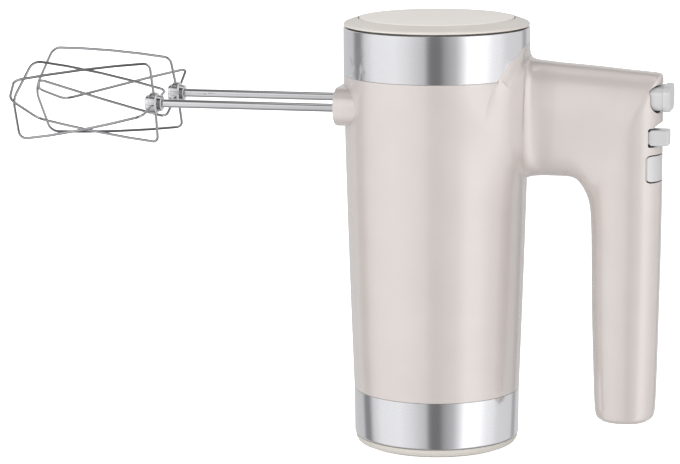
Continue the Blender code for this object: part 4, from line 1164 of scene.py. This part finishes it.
def studio_world():
    """White to the camera, soft and even for diffuse light, and a mirrored studio for polished surfaces."""
    world = bpy.data.worlds.new("studio")
    bpy.context.scene.world = world
    world.use_nodes = True
    graph = Graph(world.node_tree)
    direction = graph.nodes.new("ShaderNodeTexCoord").outputs["Generated"]
    turn = graph.nodes.new("ShaderNodeVectorRotate")
    turn.rotation_type = "Z_AXIS"
    turn.inputs["Angle"].default_value = math.radians(90.0 - VIEW_YAW_DEG)
    graph.links.new(direction, turn.inputs["Vector"])
    split = graph.nodes.new("ShaderNodeSeparateXYZ")
    graph.links.new(turn.outputs["Vector"], split.inputs["Vector"])
    compass = graph.math("ARCTAN2", split.outputs["Y"], split.outputs["X"])
    bearing = graph.spread(compass, 0.0, 1.0, -math.pi, math.pi)
    around = graph.ramp(bearing, grey_stops(SURROUND, -180.0, 180.0))
    height = graph.spread(split.outputs["Z"], 0.0, 1.0, -1.0, 1.0)
    tall = graph.ramp(height, grey_stops(HEIGHTS, -1.0, 1.0))
    mirrored = graph.mix(1.0, around, tall, "MULTIPLY")
    paths = graph.nodes.new("ShaderNodeLightPath")
    soft = graph.mix(paths.outputs["Is Glossy Ray"], (FILL, FILL, FILL, 1.0), mirrored)
    shown = graph.mix(paths.outputs["Is Camera Ray"], soft, (1.0, 1.0, 1.0, 1.0))
    graph.links.new(shown, graph.nodes["Background"].inputs["Color"])


def grey_stops(stops, low, high):
    return [((at - low) / (high - low), (level, level, level)) for at, level in stops]


def camera():
    yaw = math.radians(VIEW_YAW_DEG)
    pitch = math.radians(VIEW_PITCH_DEG)
    roll = math.radians(VIEW_ROLL_DEG)
    forward = Vector((-math.sin(yaw) * math.cos(pitch), math.cos(yaw) * math.cos(pitch), -math.sin(pitch)))
    level = Vector((math.cos(yaw), math.sin(yaw), 0.0))
    upright = level.cross(forward)
    right = level * math.cos(roll) + upright * math.sin(roll)
    up = upright * math.cos(roll) - level * math.sin(roll)
    data = bpy.data.cameras.new("camera")
    data.lens = VIEW_LENS_MM
    data.sensor_width = 36.0
    data.clip_start = 0.05
    data.clip_end = 20.0
    obj = bpy.data.objects.new("camera", data)
    turn = Matrix((right, up, -forward)).transposed().to_4x4()
    obj.matrix_world = Matrix.Translation(VIEW_FROM) @ turn
    bpy.context.scene.collection.objects.link(obj)
    bpy.context.scene.camera = obj


def floor():
    size = 4.0
    corners = [(-size, -size, 0.0), (size, -size, 0.0), (size, size, 0.0), (-size, size, 0.0)]
    mesh = mesh_from("floor", corners, [(0, 1, 2, 3)])
    obj = solid("floor", mesh)
    finish = Finish("pale_floor")
    finish.colour(finish.ramp(finish.noise(3.0), [(0.3, (0.86, 0.86, 0.86)), (0.7, (0.88, 0.88, 0.88))]))
    finish.set(Roughness=0.9, Specular_IOR_Level=0.1)
    finish.set(Emission_Color=(1.0, 1.0, 1.0, 1.0), Emission_Strength=FLOOR_GLOW)
    mesh.materials.append(finish.material)
    obj.visible_glossy = False


def area_light(name, place, target, size, power):
    data = bpy.data.lights.new(name, "AREA")
    data.shape = "RECTANGLE"
    data.size, data.size_y = size
    data.energy = power
    obj = bpy.data.objects.new(name, data)
    obj.location = place
    obj.rotation_euler = (Vector(target) - Vector(place)).to_track_quat("-Z", "Y").to_euler()
    obj.visible_glossy = False
    bpy.context.scene.collection.objects.link(obj)


# ---------------------------------------------------------------- assembly

bpy.context.scene.view_settings.view_transform = "Standard"
paint_frame()
housing()
top_band()
bottom_band()
cap()
foot()
eject_button()
speed_knob()
turbo_button()
beater(-1, "left", LEFT_LOOPS)
beater(1, "right", RIGHT_LOOPS)
camera()
floor()
studio_world()
area_light("front", LIGHT_FROM, LIGHT_AT, LIGHT_SIZE, LIGHT_POWER)
